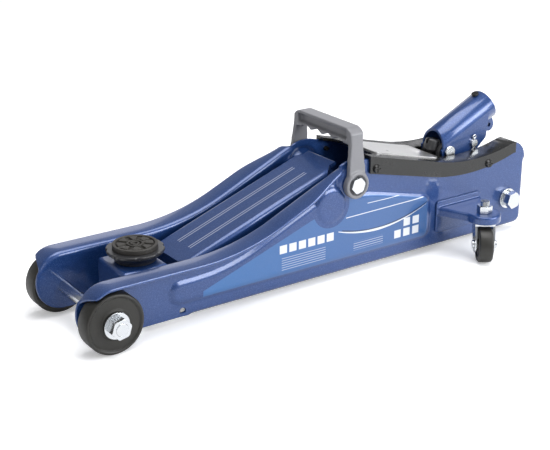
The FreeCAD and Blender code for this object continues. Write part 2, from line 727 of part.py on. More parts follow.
def ram_fork():
    """Slotted head that pushes the crank pin; the pin climbs in the slot as the arm turns."""
    rise = crank_r * (1 - math.cos(math.radians(crank_angle)))
    slot_r = crank_pin_r + 1.1
    mid_z = crank_z - rise / 2
    body = prism_y([
        (crank_x - fork_half, mid_z - 19, 5), (crank_x - fork_half, mid_z + 19, 5),
        (fork_rear_x, mid_z + 19, 5), (fork_rear_x, mid_z - 19, 5),
    ], -14, 14)
    reach = rise / 2 + 0.6
    slot = prism_y([
        (crank_x - slot_r, mid_z - reach - slot_r, slot_r - 0.05),
        (crank_x - slot_r, mid_z + reach + slot_r, slot_r - 0.05),
        (crank_x + slot_r, mid_z + reach + slot_r, slot_r - 0.05),
        (crank_x + slot_r, mid_z - reach - slot_r, slot_r - 0.05),
    ], -20, 20)
    body = body.cut(slot)
    body = body.cut(cyl_x(0, unit_z, rod_tip_r + seat_fit, fork_rear_x - 5, fork_rear_x + 1))
    hook_bar = cyl_y(hook_x + 3, spring_z, 2.5, -spring_y - 3.6, spring_y + 3.6)
    stalk = box(hook_x + 0.5, hook_x + 5.0, -9, 9, spring_z - 2, mid_z - 16)
    return fuse_all([body, hook_bar, stalk])


def hollow_x(r_out, r_in, x0, x1):
    return cyl_x(0, unit_z, r_out, x0, x1).cut(cyl_x(0, unit_z, r_in, x0 - 1, x1 + 1))


gland_rear_x = tube_front_x + 12
rod_rear_x = tube_rear_x - 4
piston_x = rod_rear_x - piston_t
export("pump_block", [power_block()])
filler_x = 372.0
reservoir = hollow_x(tube_r, tube_r - 2.5, gland_rear_x, tube_rear_x)
export("reservoir_tube", [reservoir.cut(cyl_z(filler_x, 0, 4.0 + seat_fit, unit_z, 90))])
export("ram_cylinder", [hollow_x(cylinder_out, piston_r, gland_rear_x, tube_rear_x)])
gland = hollow_x(tube_r, rod_r + run_fit, tube_front_x, gland_rear_x)
gland = gland.cut(hollow_x(rod_r + 2, rod_r, tube_front_x - 1, tube_front_x + 3))
export("cylinder_gland", [gland])
export("rod_wiper", [hollow_x(rod_r + 2, rod_r + run_fit, tube_front_x, tube_front_x + 3)])
rod = fuse_all([
    cyl_x(0, unit_z, rod_r, fork_rear_x, rod_rear_x),
    cyl_x(0, unit_z, rod_tip_r, fork_rear_x - 5, fork_rear_x),
])
export("ram_rod", [rod.cut(hollow_x(rod_r + 1, 8, piston_x, rod_rear_x + 1))])
export("ram_piston", [hollow_x(piston_r - run_fit, 8 + 0.02, piston_x, rod_rear_x)])
export("ram_fork", [ram_fork()])
export("release_valve", [release_valve()])
plug = cyl_z(filler_x, 0, 6.5, unit_z + 20, unit_z + tube_r + 3.5).cut(cyl_x(0, unit_z, tube_r, 340, 400))
plug = plug.fuse(cyl_z(filler_x, 0, 4.0, unit_z + tube_r - 2.4, unit_z + tube_r + 1)).removeSplitter()
export("filler_plug", [plug])


# ---------------------------------------------------------------- return springs
def return_springs():
    """Outer shape of the two extension springs that pull the ram back beside the cylinder."""
    tube = Part.makeCylinder(spring_r, block_front_x - hook_x - 6.6, Vector(hook_x + 6.6, spring_y, spring_z),
                             Vector(1, 0, 0))
    core = Part.makeCylinder(spring_r - spring_wire, 200, Vector(hook_x, spring_y, spring_z), Vector(1, 0, 0))
    return both_sides(tube.cut(core))


export("return_springs", return_springs())
export("pump_barrel", [cyl_z(pump_pin_x, 0, barrel_r, barrel_low_z, barrel_top_z).cut(
    cyl_z(pump_pin_x, 0, plunger_r + run_fit, barrel_low_z + 3, barrel_top_z + 1))])


# ---------------------------------------------------------------- rear mounting bolts
def hex_bolt(x, z, across, r, head_y, head_t, tip_y):
    return hex_y(x, z, across, head_y, head_y + head_t).fuse(cyl_y(x, z, r, tip_y, head_y + 0.5)).removeSplitter()


rear_washer = ring_y(bolt_x, bolt_z, 12.0, bolt_r + seat_fit, plate_out, plate_out + washer_t)
rear_lock = ring_y(bolt_x, bolt_z, 9.2, bolt_r + seat_fit, plate_out + washer_t, plate_out + washer_t + lock_t)
rear_lock = rear_lock.cut(box(bolt_x - 1, bolt_x + 1, 40, 60, bolt_z, bolt_z + 20))
head_y = plate_out + washer_t + lock_t
rear_bolt = hex_bolt(bolt_x, bolt_z, 18.0, bolt_r, head_y, 7.5, 24)
export("rear_washers", both_sides(rear_washer))
export("rear_lock_washers", both_sides(rear_lock))
export("rear_bolts", both_sides(rear_bolt))


# ---------------------------------------------------------------- rear guard and top cover
guard_out = plate_out + 3.2


def curved_band(outset, inset, y0, y1):
    """Solid between two offsets of the plate outline, over the rear half only."""
    outer = prism_y(plate_outline(-outset), y0, y1)
    inner = prism_y(plate_outline(inset), y0 - 1, y1 + 1)
    keep = box(guard_front_x, guard_rear_x, y0, y1, 78, 160)
    return outer.cut(inner).common(keep)


def rear_guard():
    """Moulded guard over both plate edges, with a window under the cover and a slot for the socket."""
    roof = curved_band(guard_t + 0.2, -0.2, -guard_out, guard_out)
    window = prism_z([
        (window_x0, -window_y, 4), (window_x0, window_y, 4), (window_x1, window_y, 4), (window_x1, -window_y, 4),
    ], 60, 180)
    slot = prism_z([
        (slot_x0, -slot_y, 6), (slot_x0, slot_y, 6), (guard_rear_x + 9, slot_y, 0),
        (guard_rear_x + 9, -slot_y, 0),
    ], 60, 180)
    front = prism_z([
        (guard_front_x - 9, -36, 0), (guard_front_x - 9, 36, 0), (window_x0 - 7, 36, 10),
        (window_x0 - 7, -36, 10),
    ], 60, 180)
    roof = roof.cut(window).cut(slot).cut(front)
    skirt = curved_band(guard_t + 0.2, skirt_h, plate_out + 0.3, guard_out)
    inner = curved_band(guard_t + 0.2, 9.0, slot_y, slot_y + 2.2).common(box(slot_x0, 600, 0, 60, 60, 180))
    body = fuse_all([roof, skirt, mirror_y(skirt), inner, mirror_y(inner)])
    for x, z in guard_screw_places:
        body = body.cut(cyl_y(x, z, screw_r + seat_fit, -OVER, OVER))
    return body


def guard_screws():
    shapes = []
    for x, z in guard_screw_places:
        head = Part.makeCone(5.0, 4.0, 2.4, Vector(x, guard_out, z), Vector(0, 1, 0))
        shank = cyl_y(x, z, screw_r, plate_in - 3, guard_out + 1)
        slot = box(x - 4, x + 4, guard_out + 1.3, guard_out + 3, z - 0.6, z + 0.6)
        slot = slot.fuse(box(x - 0.6, x + 0.6, guard_out + 1.3, guard_out + 3, z - 4, z + 4))
        shapes.extend(both_sides(head.fuse(shank).removeSplitter().cut(slot)))
    return shapes


def top_cover():
    """Thin bright cover plate that closes the window in the guard."""
    outset = guard_t + 0.2
    sheet = curved_band(outset + 1.2, -outset, -window_y - 3, window_y + 3)
    plan = prism_z([
        (window_x0 - 2.5, -window_y - 3, 5), (window_x0 - 2.5, window_y + 3, 5),
        (window_x1 + 3, window_y + 3, 5), (window_x1 + 3, -window_y - 3, 5),
    ], 60, 180)
    return sheet.common(plan).cut(cyl_z(372.0, -14, 2.2, 90, 150))


export("rear_guard", [rear_guard()])
export("guard_screws", guard_screws())
export("top_cover_plate", [top_cover()])


# ---------------------------------------------------------------- handle socket and pump
socket_r = handle_bore_r + socket_t
socket_dir = Vector(math.cos(socket_tilt), 0, math.sin(socket_tilt))
socket_start = Vector(axis_x, 0, axis_z) - socket_dir * 37.0


socket_up = Vector(-math.sin(socket_tilt), 0, math.cos(socket_tilt))
socket_screw_at = socket_start + socket_dir * (socket_len - 8)


def along_socket(shape):
    """Move a shape drawn along +X from the origin onto the socket's axis."""
    shape.rotate(Vector(0, 0, 0), Vector(0, 1, 0), -socket_slope)
    shape.translate(socket_start)
    return shape


def axis_height(x):
    return axis_z + (x - axis_x) * math.tan(socket_tilt)


def handle_socket():
    """Pressed socket: round top, straight skirts that carry the pivot bolts and the pump pin."""
    tube = Part.makeCylinder(socket_r, socket_len, socket_start, socket_dir)
    slant = prism_y([(-OVER, 0, 0), (1.0, 0, 0), (mouth_cut + 1, socket_r, 0), (-OVER, OVER, 0)], -OVER, OVER)
    tube = tube.cut(along_socket(slant))
    skirt = prism_y([
        (450.5, axis_height(450.5), 0),
        (socket_pivot_x - 9.2, socket_pivot_z - 9.0, 9.0),
        (pump_pin_x + 6, pump_pin_z - 9.0, 8.0),
        (519.0, 113.0, 5.0),
        (522.0, axis_height(522.0), 0),
    ], handle_bore_r, socket_r)
    ear_at = socket_start + socket_dir * (socket_len - ear_r) + socket_up * (-socket_r - 6)
    ears = along_socket(box(socket_len - 2 * ear_r, socket_len, -6.0, 6.0, -socket_r - 6, 0))
    ears = ears.fuse(cyl_y(ear_at.x, ear_at.z, ear_r, -6.0, 6.0))
    body = fuse_all([tube, skirt, mirror_y(skirt), ears])
    bore = Part.makeCylinder(handle_bore_r, socket_len + 20, socket_start - socket_dir * 10, socket_dir)
    wide = Part.makeCylinder(handle_bore_r + relief, socket_len - closed_len + 10, socket_start - socket_dir * 10,
                             socket_dir)
    tunnel = along_socket(box(-20, socket_len - closed_len, -handle_bore_r, handle_bore_r, -40, 0))
    split = along_socket(box(socket_len - closed_len - 1, socket_len + 5, -2.2, 2.2, -40, 0))
    body = body.cut(bore).cut(wide).cut(tunnel).cut(split)
    body = body.cut(cyl_y(socket_pivot_x, socket_pivot_z, 5 + run_fit, -OVER, OVER))
    body = body.cut(cyl_y(pump_pin_x, pump_pin_z, pump_pin_r + seat_fit, -OVER, OVER))
    body = body.cut(cyl_y(ear_at.x, ear_at.z, 2.6, -OVER, OVER))
    return body.cut(Part.makeCylinder(3.0 + seat_fit, 30, socket_screw_at, socket_up)).removeSplitter()


def socket_screw():
    shank = Part.makeCylinder(3.0, 4.6, socket_screw_at + socket_up * (handle_bore_r + 0.4), socket_up)
    head = Part.makeCylinder(4.2, 2.0, socket_screw_at + socket_up * (socket_r + 0.6), socket_up)
    return shank.fuse(head).removeSplitter()


pin_end = socket_r + 3.4
cap_top_z = pump_pin_z - pump_pin_r - 0.3


def pump_pin():
    pin = fuse_all([
        cyl_y(pump_pin_x, pump_pin_z, pump_pin_r, -pin_end, pin_end),
        cyl_y(pump_pin_x, pump_pin_z, pump_pin_r + 2, socket_r + 0.1, socket_r + 2.2),
    ])
    return pin.cut(cyl_z(pump_pin_x, -socket_r - 2.0, 1.1, 90, 130))


def cotter_pin():
    """Split pin: round eye above, two legs bent apart below."""
    y = -socket_r - 2.0
    top = pump_pin_z + 6.0
    low = pump_pin_z - 5.5
    body = cyl_z(pump_pin_x, y, 1.05, low, top)
    eye = Part.makeTorus(2.0, 0.8, Vector(pump_pin_x, y, top + 1.8), Vector(0, 1, 0))
    leg = Part.makeCylinder(0.75, 5.0, Vector(pump_pin_x, y, low + 0.6), Vector(1, 0, -0.75))
    leg_back = Part.makeCylinder(0.75, 5.0, Vector(pump_pin_x, y, low + 0.6), Vector(-1, 0, -0.75))
    return fuse_all([body, eye, leg, leg_back])


def pump_plunger():
    return fuse_all([
        cyl_z(pump_pin_x, 0, plunger_r, barrel_low_z + 5, cap_top_z),
        cyl_z(pump_pin_x, 0, 9.5, cap_top_z - 3.0, cap_top_z),
    ])


def plunger_spring():
    z0 = barrel_top_z + 0.1
    z1 = cap_top_z - 3.1
    return cyl_z(pump_pin_x, 0, 9.0, z0, z1).cut(cyl_z(pump_pin_x, 0, 6.9, z0 - 1, z1 + 1))


def pivot_bolt():
    head = cyl_y(socket_pivot_x, socket_pivot_z, 7.5, socket_r + 0.2, socket_r + 3.2)
    head = rounded_edges(head, 1.4, lambda e: e.Closed and abs(e.BoundBox.YMin - socket_r - 3.2) < 0.1)
    return head.fuse(cyl_y(socket_pivot_x, socket_pivot_z, 5, 9.6, socket_r + 0.5)).removeSplitter()


export("handle_socket", [handle_socket()])
export("socket_screw", [socket_screw()])
export("pump_pin", [pump_pin()])
export("pump_pin_cotter", [cotter_pin()])
export("pump_plunger", [pump_plunger()])
export("plunger_spring", [plunger_spring()])
export("socket_pivot_bolts", both_sides(pivot_bolt()))


# ---------------------------------------------------------------- casters
def caster_bracket():
    """Pressed shelf welded to the plate: round tongue with a turned-down rim, walls running to the plate."""
    plan = [
        (kingpin_x - 34, plate_out, 0), (kingpin_x - tongue_r, kingpin_y - 6, 12.0),
        (kingpin_x - tongue_r, kingpin_y + tongue_r, tongue_r - 0.1),
        (kingpin_x + tongue_r, kingpin_y + tongue_r, tongue_r - 0.1),
        (kingpin_x + tongue_r, kingpin_y - 6, 12.0), (kingpin_x + 34, plate_out, 0),
    ]
    body = prism_z(plan, tongue_low_z, tongue_top_z)
    body = rounded_edges(body, 2.6, lambda e: e.BoundBox.ZMin > tongue_top_z - 0.01
                         and e.BoundBox.YMax > plate_out + 0.5)
    inner = [(x + (tongue_t if x < kingpin_x else -tongue_t), min(y, kingpin_y + tongue_r - tongue_t), 0)
             for x, y, r in plan]
    inner[0] = (kingpin_x - 34 + 5, plate_out - 1, 0)
    inner[5] = (kingpin_x + 34 - 5, plate_out - 1, 0)
    rounds = [0, 9.0, tongue_r - tongue_t - 0.1, tongue_r - tongue_t - 0.1, 9.0, 0]
    inner = [(x, y, r) for (x, y, _), r in zip(inner, rounds)]
    body = body.cut(prism_z(inner, tongue_low_z - 1, tongue_top_z - tongue_t))
    gusset = prism_y([
        (kingpin_x - 34, tongue_low_z - 22, 4), (kingpin_x - 34, tongue_top_z + 7, 4),
        (kingpin_x + 34, tongue_top_z + 7, 4), (kingpin_x + 34, tongue_low_z - 22, 4),
    ], plate_out, plate_out + 2.5)
    body = body.fuse(gusset)
    return body.cut(cyl_z(kingpin_x, kingpin_y, 5 + run_fit, 30, 60)).removeSplitter()


def caster_frame_place(shape):
    """Turn a caster part, drawn trailing along -X from the origin, to its place under the kingpin."""
    shape.rotate(Vector(0, 0, 0), Vector(0, 0, 1), -caster_turn)
    shape.translate(Vector(kingpin_x, kingpin_y, 0))
    return shape


def caster_fork():
    r = caster_d / 2
    leg = prism_y([
        (9.5, fork_top_z, 3), (9.5, fork_top_z - 8, 6), (-caster_trail + 6.5, r - 9, 6),
        (-caster_trail - 6.5, r - 9, 6), (-caster_trail - 6.5, r + 6, 6), (-11, fork_top_z, 3),
    ], caster_half - fork_t, caster_half)
    roof = box(-12, 9.5, -caster_half, caster_half, fork_top_z - fork_t, fork_top_z)
    body = fuse_all([leg, mirror_y(leg), roof, cyl_z(0, 0, 9.0, fork_top_z - 0.5, tongue_top_z - tongue_t - gap),
                     cyl_z(0, 0, 5.0, fork_top_z - 1, tongue_top_z + 13.5)])
    body = body.cut(cyl_y(-caster_trail, r, 3 + seat_fit, -OVER, OVER))
    return caster_frame_place(body)


def caster_wheel():
    r = caster_d / 2
    h = caster_w / 2
    profile = [
        (3 + run_fit, -h), (6.5, -h), (7.0, -h + 1.4), (13.5, -h + 1.4), (14.5, -h), (r - 1.6, -h), (r, -h + 1.6),
        (r, h - 1.6), (r - 1.6, h), (14.5, h), (13.5, h - 1.4), (7.0, h - 1.4), (6.5, h), (3 + run_fit, h),
    ]
    wheel = revolve(profile, Vector(-caster_trail, 0, r), Vector(0, 1, 0))
    return caster_frame_place(wheel)


def caster_axle():
    r = caster_d / 2
    axle = cyl_y(-caster_trail, r, 3, -caster_half - 2, caster_half + 2)
    heads = [cyl_y(-caster_trail, r, 4.6, caster_half + 0.05, caster_half + 2.4),
             cyl_y(-caster_trail, r, 4.6, -caster_half - 2.4, -caster_half - 0.05)]
    return caster_frame_place(fuse_all([axle] + heads))


def kingpin_nut():
    nut = hex_y(0, 0, 15.0, 0, 8.0)
    nut.rotate(Vector(0, 0, 0), Vector(1, 0, 0), 90)
    nut.translate(Vector(kingpin_x, kingpin_y, tongue_top_z + gap))
    return nut.cut(cyl_z(kingpin_x, kingpin_y, 5 + seat_fit, 40, 80))


for name, shape in (("caster_bracket", caster_bracket()), ("caster_fork", caster_fork()),
                    ("caster_wheel", caster_wheel()), ("caster_axle", caster_axle()),
                    ("kingpin_nut", kingpin_nut())):
    export(name + "_right", [shape])
    export(name + "_left", [mirror_y(shape)])


# ---------------------------------------------------------------- carrying handle
carry_in = plate_out + emboss + gap
grip_mid_x = carry_x + 1.25


def across_x(corners):
    """Long bar along X whose section is an outline of (y, z, radius) corners."""
    bar = prism_y(corners, -1000, 0)
    bar.rotate(Vector(0, 0, 0), Vector(0, 0, 1), 90)
    return bar


def carry_handle():
    """Moulded bail: two tapered legs with round feet, and a grip with finger waves and a front channel."""
    leg_t = 6.0
    blank = prism_y([
        (carry_x - 12.0, carry_z, 0), (carry_x - 5.0, carry_top_z, 0), (carry_x + 7.5, carry_top_z, 0),
        (carry_x + 12.0, carry_z, 0),
    ], carry_in - carry_lean, carry_in + leg_t)
    low_z = carry_z + carry_foot_r - 2
    leaning = [
        (carry_in, carry_z, 0), (carry_in, low_z, 0), (carry_in - carry_lean, carry_top_z, 0),
        (carry_in - carry_lean + leg_t, carry_top_z, 0), (carry_in + leg_t, low_z, 0), (carry_in + leg_t, carry_z, 0),
    ]
    leg = blank.common(across_x(leaning))
    foot = cyl_y(carry_x, carry_z, carry_foot_r, carry_in, carry_in + 8.0)
    foot = rounded_edges(foot, 1.6, lambda e: e.Closed and abs(e.BoundBox.YMin - carry_in - 8.0) < 0.1)
    grip_end = carry_in - carry_lean + leg_t
    grip = box(grip_mid_x - grip_half_x, grip_mid_x + grip_half_x, -grip_end, grip_end, grip_low_z, carry_top_z)
    body = fuse_all([leg, foot, mirror_y(leg), mirror_y(foot), grip])
    hoop = across_x([
        (-OVER, 0, 0), (-OVER, low_z, 0), (-grip_end, carry_top_z, carry_corner_r),
        (grip_end, carry_top_z, carry_corner_r), (OVER, low_z, 0), (OVER, 0, 0),
    ])
    body = body.common(hoop)
    for k in range(finger_waves):
        y = (k - (finger_waves - 1) / 2) * finger_pitch
        body = body.cut(cyl_x(y, grip_low_z - 11.0, 14.0, carry_x - 20, carry_x + 20))
    channel = prism_y([(0, 0, 0), (0, 11.0, 0), (5.5, 9.5, 0), (5.5, 1.5, 0)], -43, 43)
    channel.translate(Vector(grip_mid_x - grip_half_x - 0.01, 0, grip_low_z + 3.6))
    body = body.cut(channel)
    body = body.cut(cyl_y(carry_x, carry_z, 5 + run_fit, -OVER * 2, OVER * 2))
    recess = cyl_y(carry_x, carry_z, 11.0, carry_in + 8.0 - recess_t, carry_in + 9)
    return body.cut(recess).cut(mirror_y(recess)).removeSplitter()


def carry_bolt():
    seat = carry_in + 8.0 - recess_t
    bolt = hex_bolt(carry_x, carry_z, 16.0, 5.0, seat + 0.15, 5.6, plate_in - 8.4)
    return bolt


carry_nut = hex_y(carry_x, carry_z, 15.0, plate_in - 7.6, plate_in)
carry_nut = carry_nut.cut(cyl_y(carry_x, carry_z, 5 + seat_fit, 0, OVER))
export("carry_handle", [carry_handle()])
export("carry_bolts", both_sides(carry_bolt()))
export("carry_bolt_nuts", both_sides(carry_nut))
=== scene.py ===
# %% [markdown]
# Low-profile trolley jack
#
# A trolley jack rolls under a car on four small wheels and lifts it with a hinged arm. The arm and the
# pump sit between two pressed side plates. Every piece that a hand could take off comes from the
# engineering model, and this script gives each one its finish and rebuilds the pieces whose real shape is
# softer than a machined solid.

# %% Load the frame
import json
import math

import bmesh
import bpy
import numpy as np
from mathutils import Matrix, Vector
from mathutils.geometry import delaunay_2d_cdt


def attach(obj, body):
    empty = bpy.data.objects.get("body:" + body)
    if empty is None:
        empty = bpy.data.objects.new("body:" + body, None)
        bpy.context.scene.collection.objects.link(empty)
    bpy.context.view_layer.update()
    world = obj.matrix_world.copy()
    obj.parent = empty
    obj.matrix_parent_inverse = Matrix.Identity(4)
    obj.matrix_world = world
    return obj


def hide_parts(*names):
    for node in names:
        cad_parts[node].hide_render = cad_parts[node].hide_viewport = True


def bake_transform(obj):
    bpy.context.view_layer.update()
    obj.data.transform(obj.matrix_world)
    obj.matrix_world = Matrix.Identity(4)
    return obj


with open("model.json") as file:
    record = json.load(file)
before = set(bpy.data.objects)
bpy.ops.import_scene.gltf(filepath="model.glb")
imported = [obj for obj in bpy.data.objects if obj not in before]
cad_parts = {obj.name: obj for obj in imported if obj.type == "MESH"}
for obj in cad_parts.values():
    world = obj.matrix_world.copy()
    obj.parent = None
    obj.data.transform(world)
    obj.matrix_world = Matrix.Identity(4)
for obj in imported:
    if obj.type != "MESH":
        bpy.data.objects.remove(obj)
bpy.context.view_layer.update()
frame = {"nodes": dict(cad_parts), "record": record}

NODES = frame["nodes"]
BODY_OF = {node: body for body, group in frame["record"]["behaviour"]["bodies"].items() for node in group}
MM = 0.001
FRONT_AXLE_X = -0.2633


def at(x, y, z):
    """A place in millimetres behind the front axle, to the right of the middle and above the floor."""
    return Vector((x * MM + FRONT_AXLE_X, y * MM, z * MM))


# %% [markdown]
# Camera, floor and light
#
# A tool like this is shown on a pale sweep with a softbox above it and a broad band of light in front,
# and two weaker lights behind it and at the side. The painted steel is dark and glossy, so what it
# mirrors matters more than how bright the lights are. The camera looks down on it from the front corner,
# so the long side plate, the wheels and the saddle all read at once.

# %% Camera
FOCAL_MM = 80.54
PITCH, YAW = 21.05, 34.91
camera_data = bpy.data.cameras.new("catalogue camera")
camera_data.sensor_width = 36.0
camera_data.lens = FOCAL_MM
camera = bpy.data.objects.new("catalogue camera", camera_data)
camera.location = (-0.7397, -1.0123, 0.5350)
camera.rotation_euler = (math.radians(90 - PITCH), 0, -math.radians(YAW))
bpy.context.scene.collection.objects.link(camera)
bpy.context.scene.camera = camera
print("camera", tuple(round(v, 3) for v in camera.location), "lens", FOCAL_MM)

# %% Floor and lights
def area_light(name, place, aim, size, power, colour=(1, 1, 1), size_y=None):
    """A soft area light at place that faces aim."""
    data = bpy.data.lights.new(name, "AREA")
    data.shape = "RECTANGLE"
    data.size = size
    data.size_y = size_y or size
    data.energy = power
    data.color = colour
    light = bpy.data.objects.new(name, data)
    light.location = place
    light.rotation_euler = (Vector(aim) - Vector(place)).to_track_quat("-Z", "Y").to_euler()
    bpy.context.scene.collection.objects.link(light)
    return light


area_light("overhead softbox", (0.1, -0.15, 1.7), (0, 0, 0), 1.4, 28)
area_light("back wall", (1.15, 1.9, 0.75), (0, 0, 0.1), 2.4, 5, (0.98, 0.97, 1.0), 0.7)
area_light("front band", (1.0, -1.5, 0.85), (0, 0, 0.1), 1.5, 34, (0.96, 0.98, 1.0), 0.75)
area_light("side softbox", (-1.3, -1.1, 0.9), (0, 0, 0.05), 0.8, 3, (1.0, 0.985, 0.96))

world = bpy.data.worlds.new("pale studio")
world.use_nodes = True
world.node_tree.nodes["Background"].inputs["Color"].default_value = (0.93, 0.95, 1.0, 1)
world.node_tree.nodes["Background"].inputs["Strength"].default_value = 0.36
bpy.context.scene.world = world
bpy.context.scene.view_settings.view_transform = "Standard"

floor_mesh = bpy.data.meshes.new("studio floor")
floor_mesh.from_pydata([(-9, -9, 0), (9, -9, 0), (9, 9, 0), (-9, 9, 0)], [], [(0, 1, 2, 3)])
floor = bpy.data.objects.new("studio floor", floor_mesh)
bpy.context.scene.collection.objects.link(floor)
floor.location.z = -0.0004
floor_paint = bpy.data.materials.new("studio floor")
floor_paint.use_nodes = True
floor_shader = floor_paint.node_tree.nodes["Principled BSDF"]
floor_shader.inputs["Base Color"].default_value = (0.93, 0.93, 0.93, 1)
floor_shader.inputs["Roughness"].default_value = 0.75
floor_shader.inputs["Emission Color"].default_value = (1.0, 1.0, 1.0, 1)
seen = floor_paint.node_tree.nodes.new("ShaderNodeLightPath")
glow = floor_paint.node_tree.nodes.new("ShaderNodeMath")
glow.operation = "MULTIPLY"
glow.inputs[1].default_value = 0.30
floor_paint.node_tree.links.new(seen.outputs["Is Camera Ray"], glow.inputs[0])
floor_paint.node_tree.links.new(glow.outputs[0], floor_shader.inputs["Emission Strength"])
floor.data.materials.append(floor_paint)
print("floor and", len(bpy.data.lights), "lights placed")

# %% [markdown]
# Shared surface effects
#
# Every finish on a used tool has the same three faults: edges rub bright, the gloss is uneven, and fine
# dust or orange peel breaks up the reflection. The bright edge colour is partly a painted highlight: on the
# blue enamel it is a lighter blue laid along the edges where light would catch them, not bare metal.
# Each effect is a small node group with its own sizes as inputs, so one recipe serves paint, zinc,
# castings and plastic.

# %% Node helpers
def new_group(name, inputs, outputs):
    """An empty shader node group with float inputs (name, default) and outputs (name, socket type)."""
    group = bpy.data.node_groups.new(name, "ShaderNodeTree")
    for label, value in inputs:
        socket = group.interface.new_socket(label, in_out="INPUT", socket_type="NodeSocketFloat")
        socket.default_value = value
    for label, kind in outputs:
        group.interface.new_socket(label, in_out="OUTPUT", socket_type=kind)
    return group, group.nodes.new("NodeGroupInput"), group.nodes.new("NodeGroupOutput")


def node(tree, kind, values=None, **settings):
    """A node with its settings and input values; a value that is a socket gets linked."""
    made = tree.nodes.new("ShaderNode" + kind)
    for key, value in settings.items():
        setattr(made, key, value)
    for key, value in (values or {}).items():
        if isinstance(value, bpy.types.NodeSocket):
            tree.links.new(value, made.inputs[key])
        else:
            made.inputs[key].default_value = value
    return made


def calc(tree, operation, a, b=0.0, c=0.0, clamp=False):
    """The result socket of a Math node."""
    made = node(tree, "Math", {0: a, 1: b, 2: c}, operation=operation, use_clamp=clamp)
    return made.outputs[0]


def step_mask(tree, value, low, high):
    """0 below low, 1 above high, smooth between."""
    made = node(tree, "MapRange", {"Value": value, "From Min": low, "From Max": high},
                interpolation_type="SMOOTHSTEP")
    return made.outputs[0]


def mix_colour(tree, factor, a, b):
    made = node(tree, "Mix", data_type="RGBA")
    for key, value in ((0, factor), (6, a), (7, b)):
        if isinstance(value, bpy.types.NodeSocket):
            tree.links.new(value, made.inputs[key])
        else:
            made.inputs[key].default_value = value
    return made.outputs[2]


print("node helpers ready")

# %% Rubbed edges with painted edge highlight, cloudy gloss and fine grain
# Mask of rubbed edges; on the blue enamel its lighter colour is a painted edge highlight.
edge_wear_and_highlight, group_in, group_out = new_group(
    "edge wear", [("Width", 0.0008), ("Strength", 1.0), ("Patch Size", 90.0)], [("Mask", "NodeSocketFloat")])
rounded = node(edge_wear_and_highlight, "Bevel", {"Radius": group_in.outputs["Width"]}, samples=4)
true_normal = node(edge_wear_and_highlight, "NewGeometry")
facing = node(edge_wear_and_highlight, "VectorMath", operation="DOT_PRODUCT")
edge_wear_and_highlight.links.new(rounded.outputs[0], facing.inputs[0])
edge_wear_and_highlight.links.new(true_normal.outputs["Normal"], facing.inputs[1])
bend = calc(edge_wear_and_highlight, "SUBTRACT", 1.0, facing.outputs["Value"])
place = node(edge_wear_and_highlight, "TexCoord")
patches = node(edge_wear_and_highlight, "TexNoise", {
    "Vector": place.outputs["Object"], "Scale": group_in.outputs["Patch Size"],
    "Detail": 6.0, "Roughness": 0.7})
broken = step_mask(edge_wear_and_highlight, patches.outputs["Fac"], 0.42, 0.62)
ridge = step_mask(edge_wear_and_highlight, bend, 0.04, 0.22)
worn = calc(edge_wear_and_highlight, "MULTIPLY", calc(edge_wear_and_highlight, "MULTIPLY", ridge, broken), group_in.outputs["Strength"])
edge_wear_and_highlight.links.new(worn, group_out.inputs["Mask"])

cloudy_gloss, group_in, group_out = new_group(
    "cloudy gloss", [("Roughness", 0.3), ("Variation", 0.1), ("Size", 30.0)],
    [("Roughness", "NodeSocketFloat"), ("Cloud", "NodeSocketFloat")])
place = node(cloudy_gloss, "TexCoord")
cloud = node(cloudy_gloss, "TexNoise", {"Vector": place.outputs["Object"], "Scale": group_in.outputs["Size"],
                                        "Detail": 5.0, "Roughness": 0.62})
centred = calc(cloudy_gloss, "SUBTRACT", cloud.outputs["Fac"], 0.5)
spread = calc(cloudy_gloss, "MULTIPLY_ADD", centred, group_in.outputs["Variation"],
              group_in.outputs["Roughness"])
cloudy_gloss.links.new(calc(cloudy_gloss, "MAXIMUM", spread, 0.03), group_out.inputs["Roughness"])
cloudy_gloss.links.new(cloud.outputs["Fac"], group_out.inputs["Cloud"])

fine_grain, group_in, group_out = new_group(
    "fine grain", [("Coarse Size", 300.0), ("Fine Size", 2000.0), ("Fine Share", 0.4)],
    [("Height", "NodeSocketFloat")])
place = node(fine_grain, "TexCoord")
coarse = node(fine_grain, "TexNoise", {"Vector": place.outputs["Object"],
                                       "Scale": group_in.outputs["Coarse Size"], "Detail": 3.0})
fine = node(fine_grain, "TexNoise", {"Vector": place.outputs["Object"],
                                     "Scale": group_in.outputs["Fine Size"], "Detail": 2.0})
share = node(fine_grain, "Mix", {0: group_in.outputs["Fine Share"], 2: coarse.outputs["Fac"],
                                 3: fine.outputs["Fac"]})
fine_grain.links.new(share.outputs[0], group_out.inputs["Height"])

metal_flake, group_in, group_out = new_group(
    "metal flake", [("Size", 1800.0), ("Share", 0.3)], [("Mask", "NodeSocketFloat")])
place = node(metal_flake, "TexCoord")
cells = node(metal_flake, "TexVoronoi", {
    "Vector": place.outputs["Object"], "Scale": group_in.outputs["Size"]})
chance = node(metal_flake, "SeparateColor", {"Color": cells.outputs["Color"]})
bright = calc(metal_flake, "LESS_THAN", chance.outputs[0], group_in.outputs["Share"])
flake = calc(metal_flake, "MULTIPLY", bright, chance.outputs[1])
metal_flake.links.new(flake, group_out.inputs["Mask"])
print("shared groups:", [g.name for g in bpy.data.node_groups])

# %% [markdown]
# Finishes
#
# One function lays down the layers in the order a maker would: base colour, cloudy gloss, an edge colour
# that is worn metal on some finishes and a painted highlight on the blue enamel, then a faint relief. Each
# finish passes its own numbers. Values that are the same all over a surface stay on the shader's own sockets,
# where an exporter can read them.

# %% The finish recipe
def use_group(tree, group, **values):
    made = tree.nodes.new("ShaderNodeGroup")
    made.node_tree = group
    for key, value in values.items():
        made.inputs[key.replace("_", " ")].default_value = value
    return made


